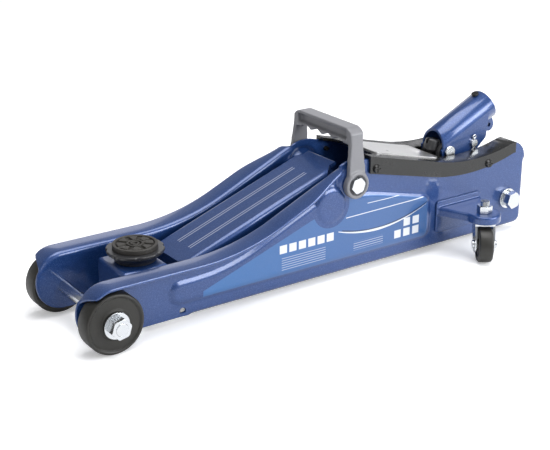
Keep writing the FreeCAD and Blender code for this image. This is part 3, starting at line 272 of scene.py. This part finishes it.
def finish(name, colour, metallic, roughness, variation=0.1, cloud_size=30.0, coat=0.0, coat_roughness=0.05,
           tint=0.12, worn_and_highlight_colour=None, worn_and_highlight_width=0.0008, worn_and_highlight_strength=1.0, worn_metallic=None,
           grain=(300.0, 2000.0, 0.4), relief=0.02, relief_depth=0.0002, specular=0.5, flake=None,
           print_layers=None):
    """A Principled material with cloudy gloss, an edge colour that is worn metal on some finishes and a
    painted highlight on the enamel, and a fine relief. Returns the material.
    """
    material = bpy.data.materials.new(name)
    material.use_nodes = True
    tree = material.node_tree
    shader = tree.nodes["Principled BSDF"]
    gloss = use_group(tree, cloudy_gloss, Roughness=roughness, Variation=variation, Size=cloud_size)
    tree.links.new(gloss.outputs["Roughness"], shader.inputs["Roughness"])
    darker = tuple(c * (1 - tint) for c in colour) + (1,)
    lighter = tuple(min(1.0, c * (1 + tint)) for c in colour) + (1,)
    base = mix_colour(tree, gloss.outputs["Cloud"], darker, lighter)
    if flake:
        sparkle = use_group(tree, metal_flake, Size=flake[0], Share=0.35)
        base = mix_colour(tree, sparkle.outputs["Mask"], base, tuple(flake[1]) + (1,))
    if print_layers:
        base = print_layers(tree, base)
    # Edge colour over the edge mask: bare metal on the black paint, a lighter painted highlight on the blue
    # enamel.
    if worn_and_highlight_colour:
        wear_and_highlight = use_group(tree, edge_wear_and_highlight, Width=worn_and_highlight_width, Strength=worn_and_highlight_strength)
        base = mix_colour(tree, wear_and_highlight.outputs["Mask"], base, tuple(worn_and_highlight_colour) + (1,))
        if worn_metallic is not None:
            span = calc(tree, "MULTIPLY_ADD", wear_and_highlight.outputs["Mask"], worn_metallic - metallic, metallic)
            tree.links.new(span, shader.inputs["Metallic"])
    tree.links.new(base, shader.inputs["Base Color"])
    if worn_metallic is None or not worn_and_highlight_colour:
        shader.inputs["Metallic"].default_value = metallic
    shader.inputs["Coat Weight"].default_value = coat
    shader.inputs["Coat Roughness"].default_value = coat_roughness
    shader.inputs["Specular IOR Level"].default_value = specular
    surface = use_group(tree, fine_grain, Coarse_Size=grain[0], Fine_Size=grain[1], Fine_Share=grain[2])
    bump = node(tree, "Bump", {"Strength": relief, "Distance": relief_depth,
                               "Height": surface.outputs["Height"]})
    tree.links.new(bump.outputs["Normal"], shader.inputs["Normal"])
    return material


print("finish recipe ready")

# %% [markdown]
# Printed sheet on the side plates
#
# A real jack carries a printed film on each side. Here it is a plain azure field with two thin lines, a
# pale sweep and a few blank squares: no words, no signs. It is worked out from millimetres on the plate,
# so it stays sharp at any size, and it sits under the same clear gloss as the paint.

# %% Label and stripe groups
def between(tree, value, low, high, soft=0.25):
    """1 where value is from low to high, with soft edges."""
    return calc(tree, "MULTIPLY", step_mask(tree, value, low - soft, low + soft),
                calc(tree, "SUBTRACT", 1.0, step_mask(tree, value, high - soft, high + soft)))


def line_height(tree, x, x0, z0, x1, z1):
    """Height of the straight line through two places, at x."""
    slope = (z1 - z0) / (x1 - x0)
    return calc(tree, "MULTIPLY_ADD", x, slope, z0 - slope * x0)


def largest(tree, masks):
    total = masks[0]
    for mask in masks[1:]:
        total = calc(tree, "MAXIMUM", total, mask)
    return total


def product(tree, masks):
    total = masks[0]
    for mask in masks[1:]:
        total = calc(tree, "MULTIPLY", total, mask)
    return total


def plate_places(tree):
    """Sockets for x behind the axle, distance from the middle and height, all in millimetres."""
    coords = node(tree, "TexCoord")
    split = node(tree, "SeparateXYZ", {"Vector": coords.outputs["Object"]})
    x = calc(tree, "MULTIPLY_ADD", split.outputs["X"], 1 / MM, -FRONT_AXLE_X / MM)
    y = calc(tree, "ABSOLUTE", calc(tree, "MULTIPLY", split.outputs["Y"], 1 / MM))
    z = calc(tree, "MULTIPLY", split.outputs["Z"], 1 / MM)
    return x, y, z


label_film, group_in, group_out = new_group(
    "label film", [], [("Film", "NodeSocketFloat"), ("Pale", "NodeSocketFloat"), ("Fade", "NodeSocketFloat"),
                       ("Shadow", "NodeSocketFloat")])
x, y, z = plate_places(label_film)
outer_face = step_mask(label_film, y, 46.7, 47.3)
above = calc(label_film, "SUBTRACT", z, line_height(label_film, x, 110, 20.0, 290, 17.0))
front_top = calc(label_film, "SUBTRACT", line_height(label_film, x, 110, 31.0, 206, 64.0), z)
rear_top = calc(label_film, "SUBTRACT", line_height(label_film, x, 288, 96.0, 402, 75.0), z)
from_pivot = node(label_film, "VectorMath", operation="LENGTH")
offset = node(label_film, "CombineXYZ", {0: calc(label_film, "SUBTRACT", x, 269.0),
                                         1: calc(label_film, "SUBTRACT", z, 87.0)})
label_film.links.new(offset.outputs[0], from_pivot.inputs[0])
field = product(label_film, [
    outer_face, step_mask(label_film, above, -0.3, 0.3), step_mask(label_film, front_top, -0.3, 0.3),
    step_mask(label_film, rear_top, -0.3, 0.3), between(label_film, x, 109.0, 405.0),
    step_mask(label_film, from_pivot.outputs["Value"], 23.5, 24.2),
])
label_film.links.new(field, group_out.inputs["Film"])
BOW_MIDDLE = 332.0      # lowest place of the pale sweep, along the plate
BOW_HALF = 62.0
BOW_RISE = 11.5
BOW_LOW = 48.0
bow_x = calc(label_film, "MULTIPLY", calc(label_film, "SUBTRACT", x, BOW_MIDDLE), 1 / BOW_HALF)
bow_z = calc(label_film, "MULTIPLY_ADD", calc(label_film, "MULTIPLY", bow_x, bow_x), BOW_RISE, BOW_LOW)
below_bow = calc(label_film, "SUBTRACT", z, bow_z)
taper = calc(label_film, "SUBTRACT", 1.25, calc(label_film, "ABSOLUTE", bow_x))
half_width = calc(label_film, "MULTIPLY", taper, 1.1)
bow = calc(label_film, "LESS_THAN", calc(label_film, "ABSOLUTE", below_bow), half_width)
bow = product(label_film, [bow, between(label_film, x, 279, 404)])
bow_edge = product(label_film, [between(label_film, below_bow, 0.8, 2.4), between(label_film, x, 284, 404)])
rule_a = between(label_film, calc(label_film, "SUBTRACT", z, line_height(label_film, x, 289, 70, 403, 71.5)),
                 -0.45, 0.45)
rule_b = between(label_film, calc(label_film, "SUBTRACT", z, line_height(label_film, x, 318, 81, 403, 80)),
                 -0.35, 0.35)
pale_parts = [bow, product(label_film, [rule_a, between(label_film, x, 289, 403)]),
              product(label_film, [rule_b, between(label_film, x, 318, 403)])]
SQUARE = 4.6
for row_z, first, count, pitch in ((53.0, 207.0, 6, 12.2), (47.5, 375.0, 2, 13.0), (35.5, 362.0, 3, 13.0)):
    for k in range(count):
        middle = first + k * pitch
        pale_parts.append(product(label_film, [between(label_film, x, middle - SQUARE, middle + SQUARE),
                                               between(label_film, z, row_z - SQUARE, row_z + SQUARE)]))
RULE_PITCH = 2.6        # from one fine rule to the next
for low_x, high_x, low_z, high_z in ((205, 262, 29.5, 44.5), (300, 341, 30.0, 40.0)):
    wave = calc(label_film, "FRACT", calc(label_film, "MULTIPLY", z, 1 / RULE_PITCH))
    hair = between(label_film, wave, 0.38, 0.62, 0.08)
    block = product(label_film, [hair, between(label_film, x, low_x, high_x),
                                 between(label_film, z, low_z, high_z)])
    pale_parts.append(calc(label_film, "MULTIPLY", block, 0.55))
label_film.links.new(calc(label_film, "MULTIPLY", largest(label_film, pale_parts), outer_face),
                     group_out.inputs["Pale"])
label_film.links.new(step_mask(label_film, x, 100.0, 330.0), group_out.inputs["Fade"])
label_film.links.new(calc(label_film, "MULTIPLY", bow_edge, field), group_out.inputs["Shadow"])

pin_stripes, group_in, group_out = new_group("pin stripes", [], [("Mask", "NodeSocketFloat")])
x, y, z = plate_places(pin_stripes)
arm_plane = line_height(pin_stripes, x, 97, 55.9, 283, 122.1)
on_top = step_mask(pin_stripes, calc(pin_stripes, "SUBTRACT", z, arm_plane), -0.1, 0.1)
long_lines = [product(pin_stripes, [between(pin_stripes, y, edge - 0.5, edge + 0.5),
                                    between(pin_stripes, x, 116, 262)]) for edge in (9.0, 12.5)]
pin_stripes.links.new(calc(pin_stripes, "MULTIPLY", largest(pin_stripes, long_lines), on_top),
                      group_out.inputs["Mask"])


def label_layers(tree, base):
    """Azure film, darker line under the sweep, then the pale print."""
    film = use_group(tree, label_film)
    azure = mix_colour(tree, film.outputs["Fade"], (0.030, 0.150, 0.390, 1), (0.040, 0.120, 0.310, 1))
    base = mix_colour(tree, calc(tree, "MULTIPLY", film.outputs["Film"], 0.75), base, azure)
    base = mix_colour(tree, calc(tree, "MULTIPLY", film.outputs["Shadow"], 0.8), base, (0.012, 0.02, 0.06, 1))
    return mix_colour(tree, calc(tree, "MULTIPLY", film.outputs["Pale"], 0.9), base, (0.72, 0.74, 0.76, 1))


def stripe_layers(tree, base):
    stripes = use_group(tree, pin_stripes)
    faint = calc(tree, "MULTIPLY", stripes.outputs["Mask"], 0.75)
    return mix_colour(tree, faint, base, (0.55, 0.60, 0.72, 1))


print("label film and pin stripes ready")

# %% Finishes
BARE_STEEL = (0.42, 0.43, 0.45)
# The enamel's edge colour is a lighter blue: a painted highlight along its edges, not bare metal.
enamel = dict(metallic=0.35, roughness=0.36, variation=0.12, coat=0.8, coat_roughness=0.10, tint=0.12,
              worn_and_highlight_colour=(0.12, 0.17, 0.33), worn_and_highlight_width=0.0007, worn_and_highlight_strength=0.5,
              grain=(220.0, 2600.0, 0.5), relief=0.06, flake=(2200.0, (0.04, 0.09, 0.26)))
PAINT_BLUE = (0.008, 0.042, 0.170)
LABELLED_PAINT = finish("blue enamel with film", PAINT_BLUE, print_layers=label_layers, **enamel)
STRIPED_PAINT = finish("blue enamel with stripes", PAINT_BLUE, print_layers=stripe_layers, **enamel)
FINISH = {
    "blue_paint": finish("blue enamel", PAINT_BLUE, **enamel),
    "dark_paint": finish("black chassis paint", (0.022, 0.022, 0.024), 0.0, 0.42, 0.2, coat=0.25,
                         worn_and_highlight_colour=BARE_STEEL, worn_and_highlight_strength=0.35, worn_metallic=1.0,
                         grain=(500.0, 1800.0, 0.5), relief=0.25),
    "bright_zinc": finish("bright zinc", (0.62, 0.64, 0.66), 1.0, 0.22, 0.22, 60.0, tint=0.10,
                          worn_and_highlight_colour=(0.95, 0.95, 0.95), worn_and_highlight_strength=0.6, relief=0.06),
    "ground_steel": finish("ground steel", (0.52, 0.53, 0.55), 1.0, 0.26, 0.2, 80.0, tint=0.14,
                           worn_and_highlight_colour=(0.8, 0.8, 0.82), worn_and_highlight_strength=0.5, relief=0.05),
    "spring_steel": finish("oiled spring wire", (0.20, 0.20, 0.21), 1.0, 0.30, 0.2, 90.0, relief=0.05),
    "wheel_black": finish("moulded black nylon", (0.014, 0.0130, 0.0100), 0.0, 0.46, 0.25, 40.0,
                          worn_and_highlight_colour=(0.085, 0.078, 0.068), worn_and_highlight_strength=0.6,
                          grain=(700.0, 2600.0, 0.5), relief=0.22),
    "black_rubber": finish("black rubber", (0.028, 0.025, 0.021), 0.0, 0.55, 0.2, 50.0,
                           worn_and_highlight_colour=(0.10, 0.095, 0.09), worn_and_highlight_strength=0.8,
                           grain=(900.0, 3000.0, 0.5), relief=0.3),
    "guard_black": finish("glossy black moulding", (0.009, 0.009, 0.0085), 0.0, 0.26, 0.16, 24.0,
                          worn_and_highlight_colour=(0.11, 0.11, 0.11), worn_and_highlight_strength=0.5,
                          grain=(420.0, 2000.0, 0.3), relief=0.07),
    "handle_grey": finish("light grey moulding", (0.185, 0.185, 0.197), 0.0, 0.40, 0.14, 36.0,
                          worn_and_highlight_colour=(0.50, 0.51, 0.54), worn_and_highlight_strength=0.5,
                          grain=(600.0, 2200.0, 0.6), relief=0.16),
    "cover_bright": finish("bright cover sheet", (0.95, 0.945, 0.93), 1.0, 0.30, 0.12, 18.0, tint=0.05,
                           worn_and_highlight_colour=(0.97, 0.97, 0.97), worn_and_highlight_strength=0.4,
                           grain=(120.0, 1500.0, 0.5), relief=0.05),
}
print(len(FINISH), "finishes")

# %% Dress every piece
SLOT_OF = {piece["node"]: piece["material_slot"] for piece in frame["record"]["subparts"]}


def dress(obj, material):
    """Give a piece one material."""
    obj.data.materials.clear()
    obj.data.materials.append(material)


for name, obj in NODES.items():
    dress(obj, FINISH[SLOT_OF[name]])
dress(NODES["lift_arm"], STRIPED_PAINT)
print("dressed", len(NODES), "pieces")

# %% [markdown]
# Broken edges
#
# No real edge is sharp: sheet steel has a rolled burr, castings have radii, and turned pieces a small
# chamfer. The modelled solids arrive as loose triangles, so they are welded first, then bevelled where
# two faces meet at a clear angle. The bevel catches the bright line of light that tells the eye how thick
# a sheet is.

# %% Weld and bevel
def soften(obj, width, segments=2, angle=34):
    """Weld a piece's triangles and round its edges."""
    weld = obj.modifiers.new("weld", "WELD")
    weld.merge_threshold = 1e-6
    bevel = obj.modifiers.new("round edges", "BEVEL")
    bevel.width = width * MM
    bevel.segments = segments
    bevel.limit_method = "ANGLE"
    bevel.angle_limit = math.radians(angle)
    bevel.use_clamp_overlap = True
    bevel.harden_normals = True
    return obj


EDGE_WIDTH = {
    "side_plate_left": 0.7, "side_plate_right": 0.7, "lift_arm": 0.9, "saddle_bracket": 0.8,
    "caster_bracket_left": 0.5, "caster_bracket_right": 0.5, "handle_socket": 0.6,
    "rear_guard": 1.2, "carry_handle": 1.0, "top_cover_plate": 0.3, "pump_block": 1.0,
    "saddle_cup": 0.7, "saddle_pad": 0.35,
}
REBUILT = {
    "side_plate_left", "side_plate_right", "caster_bracket_left", "caster_bracket_right", "carry_handle",
    "saddle_pad", "saddle_cup", "return_springs", "plunger_spring",
}
for name, obj in NODES.items():
    if name not in REBUILT:
        soften(obj, EDGE_WIDTH.get(name, 0.3))
print("rounded", len(NODES) - len(REBUILT), "pieces")

# %% [markdown]
# Side plates
#
# Each plate is one blank of 3 mm sheet, drawn over a former. The panel, the dome round the arm pivot and
# the seat of the carrying handle rise out of the flat with wide, soft shoulders, because sheet can't
# stretch round a sharp corner. The top edge is bent out into the fender, and the bottom and rear edges
# are turned in as a lip. So the sheet's inner surface is drawn first, as a fine net of triangles over the
# plate's outline, and each point is pushed out by the height of the stampings there. A strip round the
# outline then follows the bend, and the sheet's thickness is added last.

# %% Outline of a plate
SHEET = 3.0
SHEET_IN = 42.3
FENDER_OUT = 68.4
EDGE_BAND = 5.0
FENDER_END, LIP_START = 284.5, 97.0
NET = 2.1
NOSE_R = 30.05


def plate_corners(inset):
    """The plate's outline corners (x, z, radius), moved in by inset."""
    d = inset
    tilt = math.tan(math.radians(24))
    rise = 146.0 + d * math.tan(math.radians(12))
    crest = 297.0 - 0.092 * d
    top = 68.5 - d
    return [(d - 30, 7.4 + d, NOSE_R - d), (d - 30, top, NOSE_R - d), (rise, top, 240 + d),
            (crest, top + (crest - rise) * tilt, 40 - d), (473.2, 91.8 - d, 225 + d),
            (557.6 - d, 114.4 - d, 20 - d), (557.6 - d, 7.4 + d, 9 - d)]


def along_line(start, stop, spacing):
    """Places between two others, about spacing apart."""
    cells = max(1, round((stop - start).length / spacing))
    return [start.lerp(stop, k / cells) for k in range(1, cells)]


def rounded_outline(corners, spacing):
    """Places along a closed outline whose corners are tangent arcs."""
    places = []
    count = len(corners)
    for k, (cx, cz, r) in enumerate(corners):
        here = Vector((cx, cz))
        back = (Vector(corners[k - 1][:2]) - here).normalized()
        ahead = (Vector(corners[(k + 1) % count][:2]) - here).normalized()
        half = back.angle(ahead) / 2
        centre = here + (back + ahead).normalized() * (r / math.sin(half))
        start, stop = here + back * (r / math.tan(half)), here + ahead * (r / math.tan(half))
        a0 = math.atan2(start.y - centre.y, start.x - centre.x)
        sweep = math.atan2(stop.y - centre.y, stop.x - centre.x) - a0
        sweep = (sweep + math.pi) % (2 * math.pi) - math.pi
        steps = max(3, round(abs(sweep) * r / spacing))
        if places:
            places.extend(along_line(places[-1], start, spacing))
        angles = [a0 + sweep * i / steps for i in range(steps + 1)]
        places.extend([centre + r * Vector((math.cos(a), math.sin(a))) for a in angles])
    places.extend(along_line(places[-1], places[0], spacing))
    return places


def smooth(value, low, high):
    t = min(1.0, max(0.0, (value - low) / (high - low)))
    return t * t * (3 - 2 * t)


def depth_inside(px, pz, ring):
    """Distance of many places from a ring of places, positive inside it."""
    a = np.array([tuple(p) for p in ring])
    b = np.roll(a, -1, axis=0)
    p = np.stack([px, pz], axis=1)
    run = b - a
    far = np.full(len(p), 1e9)
    inside = np.zeros(len(p), bool)
    for (ax, az), (rx, rz) in zip(a, run):
        t = np.clip(((p[:, 0] - ax) * rx + (p[:, 1] - az) * rz) / max(rx * rx + rz * rz, 1e-9), 0, 1)
        far = np.minimum(far, np.hypot(p[:, 0] - ax - t * rx, p[:, 1] - az - t * rz))
        crosses = (az > p[:, 1]) != (az + rz > p[:, 1])
        side = ax + (p[:, 1] - az) / (rz if abs(rz) > 1e-9 else 1e-9) * rx
        inside ^= crosses & (p[:, 0] < side)
    return np.where(inside, far, -far)


def ramp(value, low, high):
    t = np.clip((value - low) / (high - low), 0, 1)
    return t * t * (3 - 2 * t)


PANEL = rounded_outline([(70, 20.5, 13.5), (70, 48.5, 13.5), (139, 48.5, 200), (262, 103, 40), (330, 92, 60),
                         (412, 72, 16), (412, 20.5, 12)], 4.0)


def stamping(px, pz):
    """Height of the stampings over the flat sheet, in millimetres."""
    depth = depth_inside(px, pz, PANEL)
    height = 3.0 * ramp(depth, -0.3, 8.0)
    from_pivot = np.hypot(px - 269.0, pz - 87.0)
    height = np.maximum(height, 4.3 * ramp(-from_pivot, -23.0, -15.5))
    from_carry = np.hypot(px - 298.0, pz - 107.0)
    height = np.maximum(height, 2.95 * ramp(-from_carry, -20.0, -15.5))
    for rib_z in (50.0, 21.0):
        along = ramp(px, 424.0, 434.0) * ramp(-px, -446.0, -430.0)
        height = height + 1.3 * along * np.exp(-((pz - rib_z) / 3.2) ** 2)
    return height


print("panel outline of", len(PANEL), "places")

# %% Build a plate
SECTION_POINTS = 8      # places across the strip round a plate's outline
RING_STEP = 2.4
DRAIN = (86.4, 13.8)    # middle of the drain hole
DRAIN_R = 3
DRAIN_SIDES = 20


def edge_section(kind, width):
    """Places (out, across) on the sheet's inner surface from the net's edge outwards."""
    if kind == "fender":
        bend = [(5 * math.sin(a), 5 * (1 - math.cos(a))) for a in (0, 0.39, 0.785, 1.18, math.pi / 2)]
        run = width - 5
        return bend + [(5.0, 5 + 0.4 * run), (4.9, 5 + 0.8 * run), (4.4, 5 + run)]
    if kind == "lip":
        bend = [(0, 0), (0.8, 0), (1.5, -0.2), (1.9, -0.7), (2.0, -1.5)]
        return bend + [(2.0, -4.0), (2.0, -6.5), (2.0, -9.0)]
    return [(EDGE_BAND * k / (SECTION_POINTS - 1), 0.0) for k in range(SECTION_POINTS)]


def fender_width(x):
    """How far the fender reaches out from the sheet's inner surface."""
    full = FENDER_OUT - SHEET_IN
    front = full * math.sqrt(max(0.0, 1 - max(0.0, (-11.0 - x) / 17.0) ** 2))
    return min(front, full - 12.0 * smooth(x, 226.0, 282.0)) if x > 0 else max(front, 4.0)


def thicken(mesh, sheet, burr):
    """Give a net of faces a second skin, sheet millimetres behind it, and a rounded rim."""
    work = bmesh.new()
    work.from_mesh(mesh)
    bmesh.ops.remove_doubles(work, verts=work.verts, dist=2e-6)
    bmesh.ops.dissolve_degenerate(work, edges=work.edges, dist=1e-6)
    work.normal_update()
    faces = list(work.faces)
    rim = [edge for edge in work.edges if edge.is_boundary]
    outward = {}
    for edge in rim:
        face = edge.link_faces[0]
        away = (edge.verts[1].co - edge.verts[0].co).cross(face.normal).normalized()
        if away.dot((edge.verts[0].co + edge.verts[1].co) / 2 - face.calc_center_median()) < 0:
            away.negate()
        for vert in edge.verts:
            outward[vert] = outward.get(vert, Vector()) + away
    behind = {vert: vert.co - vert.normal * sheet * MM for vert in work.verts}
    for vert, away in outward.items():
        pull = away.normalized() * burr * MM
        vert.co -= pull
        behind[vert] -= pull
    twin = {vert: work.verts.new(place) for vert, place in behind.items()}
    rows = {}
    for vert, away in outward.items():
        bulge = away.normalized() * burr * MM
        middle = [work.verts.new(vert.co.lerp(behind[vert], t) + bulge * math.sin(math.pi * t))
                  for t in (0.12, 0.32, 0.68, 0.88)]
        rows[vert] = [vert] + middle + [twin[vert]]
    for face in faces:
        work.faces.new([twin[vert] for vert in reversed(face.verts)])
    for edge in rim:
        loop = edge.link_loops[0]
        a, b = loop.vert, loop.link_loop_next.vert
        for i in range(5):
            work.faces.new((rows[b][i], rows[a][i], rows[a][i + 1], rows[b][i + 1]))
    work.to_mesh(mesh)
    work.free()
    mesh.shade_smooth()


def build_plate(name, side):
    """One side plate; side is 1 for the right plate and -1 for the left."""
    ring = rounded_outline(plate_corners(EDGE_BAND), RING_STEP)
    count = len(ring)
    drain_angles = [k * math.pi / (DRAIN_SIDES / 2) for k in range(DRAIN_SIDES)]
    drain = [Vector((DRAIN[0] + DRAIN_R * math.cos(a), DRAIN[1] + DRAIN_R * math.sin(a)))
             for a in drain_angles]
    grid_x, grid_z = np.meshgrid(np.arange(-28, 556, NET), np.arange(9, 134, NET))
    gx, gz = grid_x.ravel(), grid_z.ravel()
    keep = (depth_inside(gx, gz, ring) > 1.2) & (np.hypot(gx - DRAIN[0], gz - DRAIN[1]) > 4.2)
    places = ring + drain + [Vector((a, b)) for a, b in zip(gx[keep], gz[keep])]
    edges = [(k, (k + 1) % count) for k in range(count)]
    edges += [(count + k, count + (k + 1) % DRAIN_SIDES) for k in range(DRAIN_SIDES)]
    flat, _, faces, _, _, _ = delaunay_2d_cdt(places, edges, [], 0, 1e-5)
    fx, fz = np.array([p.x for p in flat]), np.array([p.y for p in flat])
    tri = np.array([tuple(f) for f in faces])
    mid_x, mid_z = fx[tri].mean(axis=1), fz[tri].mean(axis=1)
    good = (depth_inside(mid_x, mid_z, ring) > 0) & (np.hypot(mid_x - DRAIN[0], mid_z - DRAIN[1]) > 2.98)
    rise = stamping(fx, fz)
    verts = [(fx[k], SHEET_IN + rise[k], fz[k]) for k in range(len(fx))]
    polys = [tuple(int(i) for i in t) for t in tri[good]]
    plain = edge_section("plain", 0)
    lip = edge_section("lip", 0)
    first = len(verts)
    for k, place in enumerate(ring):
        run = (ring[(k + 1) % count] - ring[k - 1]).normalized()
        out = Vector((-run.y, run.x))
        fender = edge_section("fender", fender_width(place.x))
        as_fender = smooth(out.y, 0.45, 0.80) * (1 - smooth(place.x, FENDER_END - 7, FENDER_END))
        as_lip = (smooth(-out.y, 0.5, 0.8) * smooth(place.x, LIP_START - 6, LIP_START + 4)
                  + smooth(out.x, 0.5, 0.8) * (1 - smooth(place.y, 80, 90)) * (1 if place.x > 300 else 0))
        as_lip = min(1.0, as_lip)
        for i in range(SECTION_POINTS):
            a, y = plain[i]
            a, y = (a + (fender[i][0] - a) * as_fender, y + (fender[i][1] - y) * as_fender)
            a, y = (a + (lip[i][0] - a) * as_lip, y + (lip[i][1] - y) * as_lip)
            verts.append((place.x + out.x * a, SHEET_IN + y, place.y + out.y * a))
    for k in range(count):
        here = first + k * SECTION_POINTS
        after = first + (k + 1) % count * SECTION_POINTS
        for i in range(SECTION_POINTS - 1):
            polys.append((here + i, after + i, after + i + 1, here + i + 1))
    if side < 0:
        polys = [p[::-1] for p in polys]
    mesh = bpy.data.meshes.new(name)
    mesh.from_pydata([at(x, y * side, z) for x, y, z in verts], [], polys)
    thicken(mesh, SHEET, 0.8)
    for vert in mesh.vertices:
        vert.co.x = min(vert.co.x, at(557.6, 0, 0).x)
    plate = bpy.data.objects.new(name, mesh)
    bpy.context.scene.collection.objects.link(plate)
    return plate


def settle(obj, name, sharp_angle=45):
    """Turn an object with modifiers into a plain mesh."""
    bpy.context.view_layer.update()
    evaluated = obj.evaluated_get(bpy.context.evaluated_depsgraph_get())
    mesh = bpy.data.meshes.new_from_object(evaluated)
    mesh.shade_smooth()
    mesh.set_sharp_from_angle(angle=math.radians(sharp_angle))
    obj.modifiers.clear()
    obj.data = mesh
    obj.name = name
    return obj


def stand_for(obj, node_name, material):
    """obj takes the place of a modelled piece on the same body."""
    dress(obj, material)
    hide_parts(node_name)
    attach(obj, BODY_OF[node_name])
    print(obj.name, "has", len(obj.data.polygons), "faces")
    return obj


for side_name, side in (("right", 1), ("left", -1)):
    plate = settle(build_plate("stamped_plate_" + side_name, side), "stamped_side_plate_" + side_name, 50)
    stand_for(plate, "side_plate_" + side_name, LABELLED_PAINT)

# %% [markdown]
# Moulded and cast pieces
#
# The carrying handle is moulded, the saddle cup is cast and its pad is pressed rubber. None of them has a
# straight edge, so each is remade from its engineering solid as an even skin and then relaxed until the
# corners flow. The skin keeps close to the solid, but it can touch a neighbour that the solid only just
# clears.

# %% Relaxed skins
def relaxed(name, label, cell, passes, strength, material):
    """A smooth skin grown from a modelled piece."""
    source = NODES[name]
    mesh = bpy.data.meshes.new_from_object(source)
    work = bmesh.new()
    work.from_mesh(mesh)
    bmesh.ops.remove_doubles(work, verts=work.verts, dist=1e-6)
    work.to_mesh(mesh)
    work.free()
    skin = bpy.data.objects.new(label, mesh)
    bpy.context.scene.collection.objects.link(skin)
    skin.matrix_world = source.matrix_world
    remesh = skin.modifiers.new("even skin", "REMESH")
    remesh.mode = "VOXEL"
    remesh.voxel_size = cell * MM
    ease = skin.modifiers.new("ease corners", "SMOOTH")
    ease.factor = strength
    ease.iterations = passes
    settle(skin, label, 80)
    return stand_for(skin, name, material)


for side_name in ("left", "right"):
    bracket = "caster_bracket_" + side_name
    relaxed(bracket, "pressed_" + bracket, 0.8, 5, 0.5, FINISH["blue_paint"])
relaxed("carry_handle", "moulded_carrying_handle", 0.9, 6, 0.5, FINISH["handle_grey"])
relaxed("saddle_pad", "rubber_saddle_pad", 0.45, 4, 0.5, FINISH["black_rubber"])
relaxed("saddle_cup", "cast_saddle_cup", 0.7, 4, 0.5, FINISH["dark_paint"])

# %% [markdown]
# Springs
#
# The two return springs are extension springs, drawn as plain coils without their end hooks, and the
# pump's spring is an open compression spring round the plunger. Both are one wire wound on a mandrel, so
# a geometry network draws the wire's path as a helix and sweeps a round section along it.

# %% Coil network
def coil_network():
    """Geometry network: a helix along +Z swept with a round wire."""
    tree = bpy.data.node_groups.new("wound wire", "GeometryNodeTree")
    sockets = {}
    for label, kind, value in (("Turns", "Float", 10.0), ("Radius", "Float", 0.003),
                               ("Length", "Float", 0.05), ("Wire", "Float", 0.0006)):
        socket = tree.interface.new_socket(label, in_out="INPUT", socket_type="NodeSocket" + kind)
        socket.default_value = value
        sockets[label] = socket.identifier
    material = tree.interface.new_socket("Material", in_out="INPUT", socket_type="NodeSocketMaterial")
    sockets["Material"] = material.identifier
    tree.interface.new_socket("Geometry", in_out="OUTPUT", socket_type="NodeSocketGeometry")
    entry, leave = tree.nodes.new("NodeGroupInput"), tree.nodes.new("NodeGroupOutput")
    helix = tree.nodes.new("GeometryNodeCurveSpiral")
    helix.inputs["Resolution"].default_value = 20
    section = tree.nodes.new("GeometryNodeCurvePrimitiveCircle")
    section.inputs["Resolution"].default_value = 8
    sweep = tree.nodes.new("GeometryNodeCurveToMesh")
    sweep.inputs["Fill Caps"].default_value = True
    solid = tree.nodes.new("GeometryNodeRealizeInstances")
    painted = tree.nodes.new("GeometryNodeSetMaterial")
    link = tree.links.new
    link(entry.outputs["Turns"], helix.inputs["Rotations"])
    link(entry.outputs["Radius"], helix.inputs["Start Radius"])
    link(entry.outputs["Radius"], helix.inputs["End Radius"])
    link(entry.outputs["Length"], helix.inputs["Height"])
    link(entry.outputs["Wire"], section.inputs["Radius"])
    link(helix.outputs[0], sweep.inputs["Curve"])
    link(section.outputs["Curve"], sweep.inputs["Profile Curve"])
    link(sweep.outputs[0], solid.inputs[0])
    link(solid.outputs[0], painted.inputs["Geometry"])
    link(entry.outputs["Material"], painted.inputs["Material"])
    link(painted.outputs[0], leave.inputs[0])
    return tree, sockets


COIL, COIL_SOCKETS = coil_network()


def wind(label, turns, radius, length, wire, start, along, material):
    """A wound wire from start along a direction, sizes in millimetres."""
    coil = bpy.data.objects.new(label, bpy.data.meshes.new(label))
    bpy.context.scene.collection.objects.link(coil)
    network = coil.modifiers.new("wound wire", "NODES")
    network.node_group = COIL
    for key, value in (("Turns", turns), ("Radius", (radius - wire) * MM), ("Length", length * MM),
                       ("Wire", wire * MM)):
        network[COIL_SOCKETS[key]] = float(value)
    network[COIL_SOCKETS["Material"]] = material
    settle(coil, label, 60)
    turn = Vector((0, 0, 1)).rotation_difference(Vector(along)).to_matrix().to_4x4()
    coil.data.transform(Matrix.Translation(start) @ turn)
    return coil


def join_meshes(label, objects):
    """One object from several, all at the origin."""
    work = bmesh.new()
    for obj in objects:
        work.from_mesh(obj.data)
        bpy.data.objects.remove(obj)
    mesh = bpy.data.meshes.new(label)
    work.to_mesh(mesh)
    work.free()
    mesh.shade_smooth()
    joined = bpy.data.objects.new(label, mesh)
    bpy.context.scene.collection.objects.link(joined)
    return joined


SPRING_WIRE = FINISH["spring_steel"]
pair = [wind("return_spring", 40, 3.5, 87.0, 0.62, at(317.6, side * 22.0, 22.0), (1, 0, 0), SPRING_WIRE)
        for side in (1, -1)]
springs = join_meshes("return_springs", pair)
dress(springs, SPRING_WIRE)
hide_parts("return_springs")
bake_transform(springs)
PUMP_X = 498.6
pump_spring = wind("pump_spring", 4.5, 9.0, 13.2, 1.0, at(PUMP_X, 0, 87.2), (0, 0, 1), SPRING_WIRE)
dress(pump_spring, SPRING_WIRE)
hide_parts("plunger_spring")
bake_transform(pump_spring)
print("springs wound:", len(springs.data.polygons), "and", len(pump_spring.data.polygons), "faces")
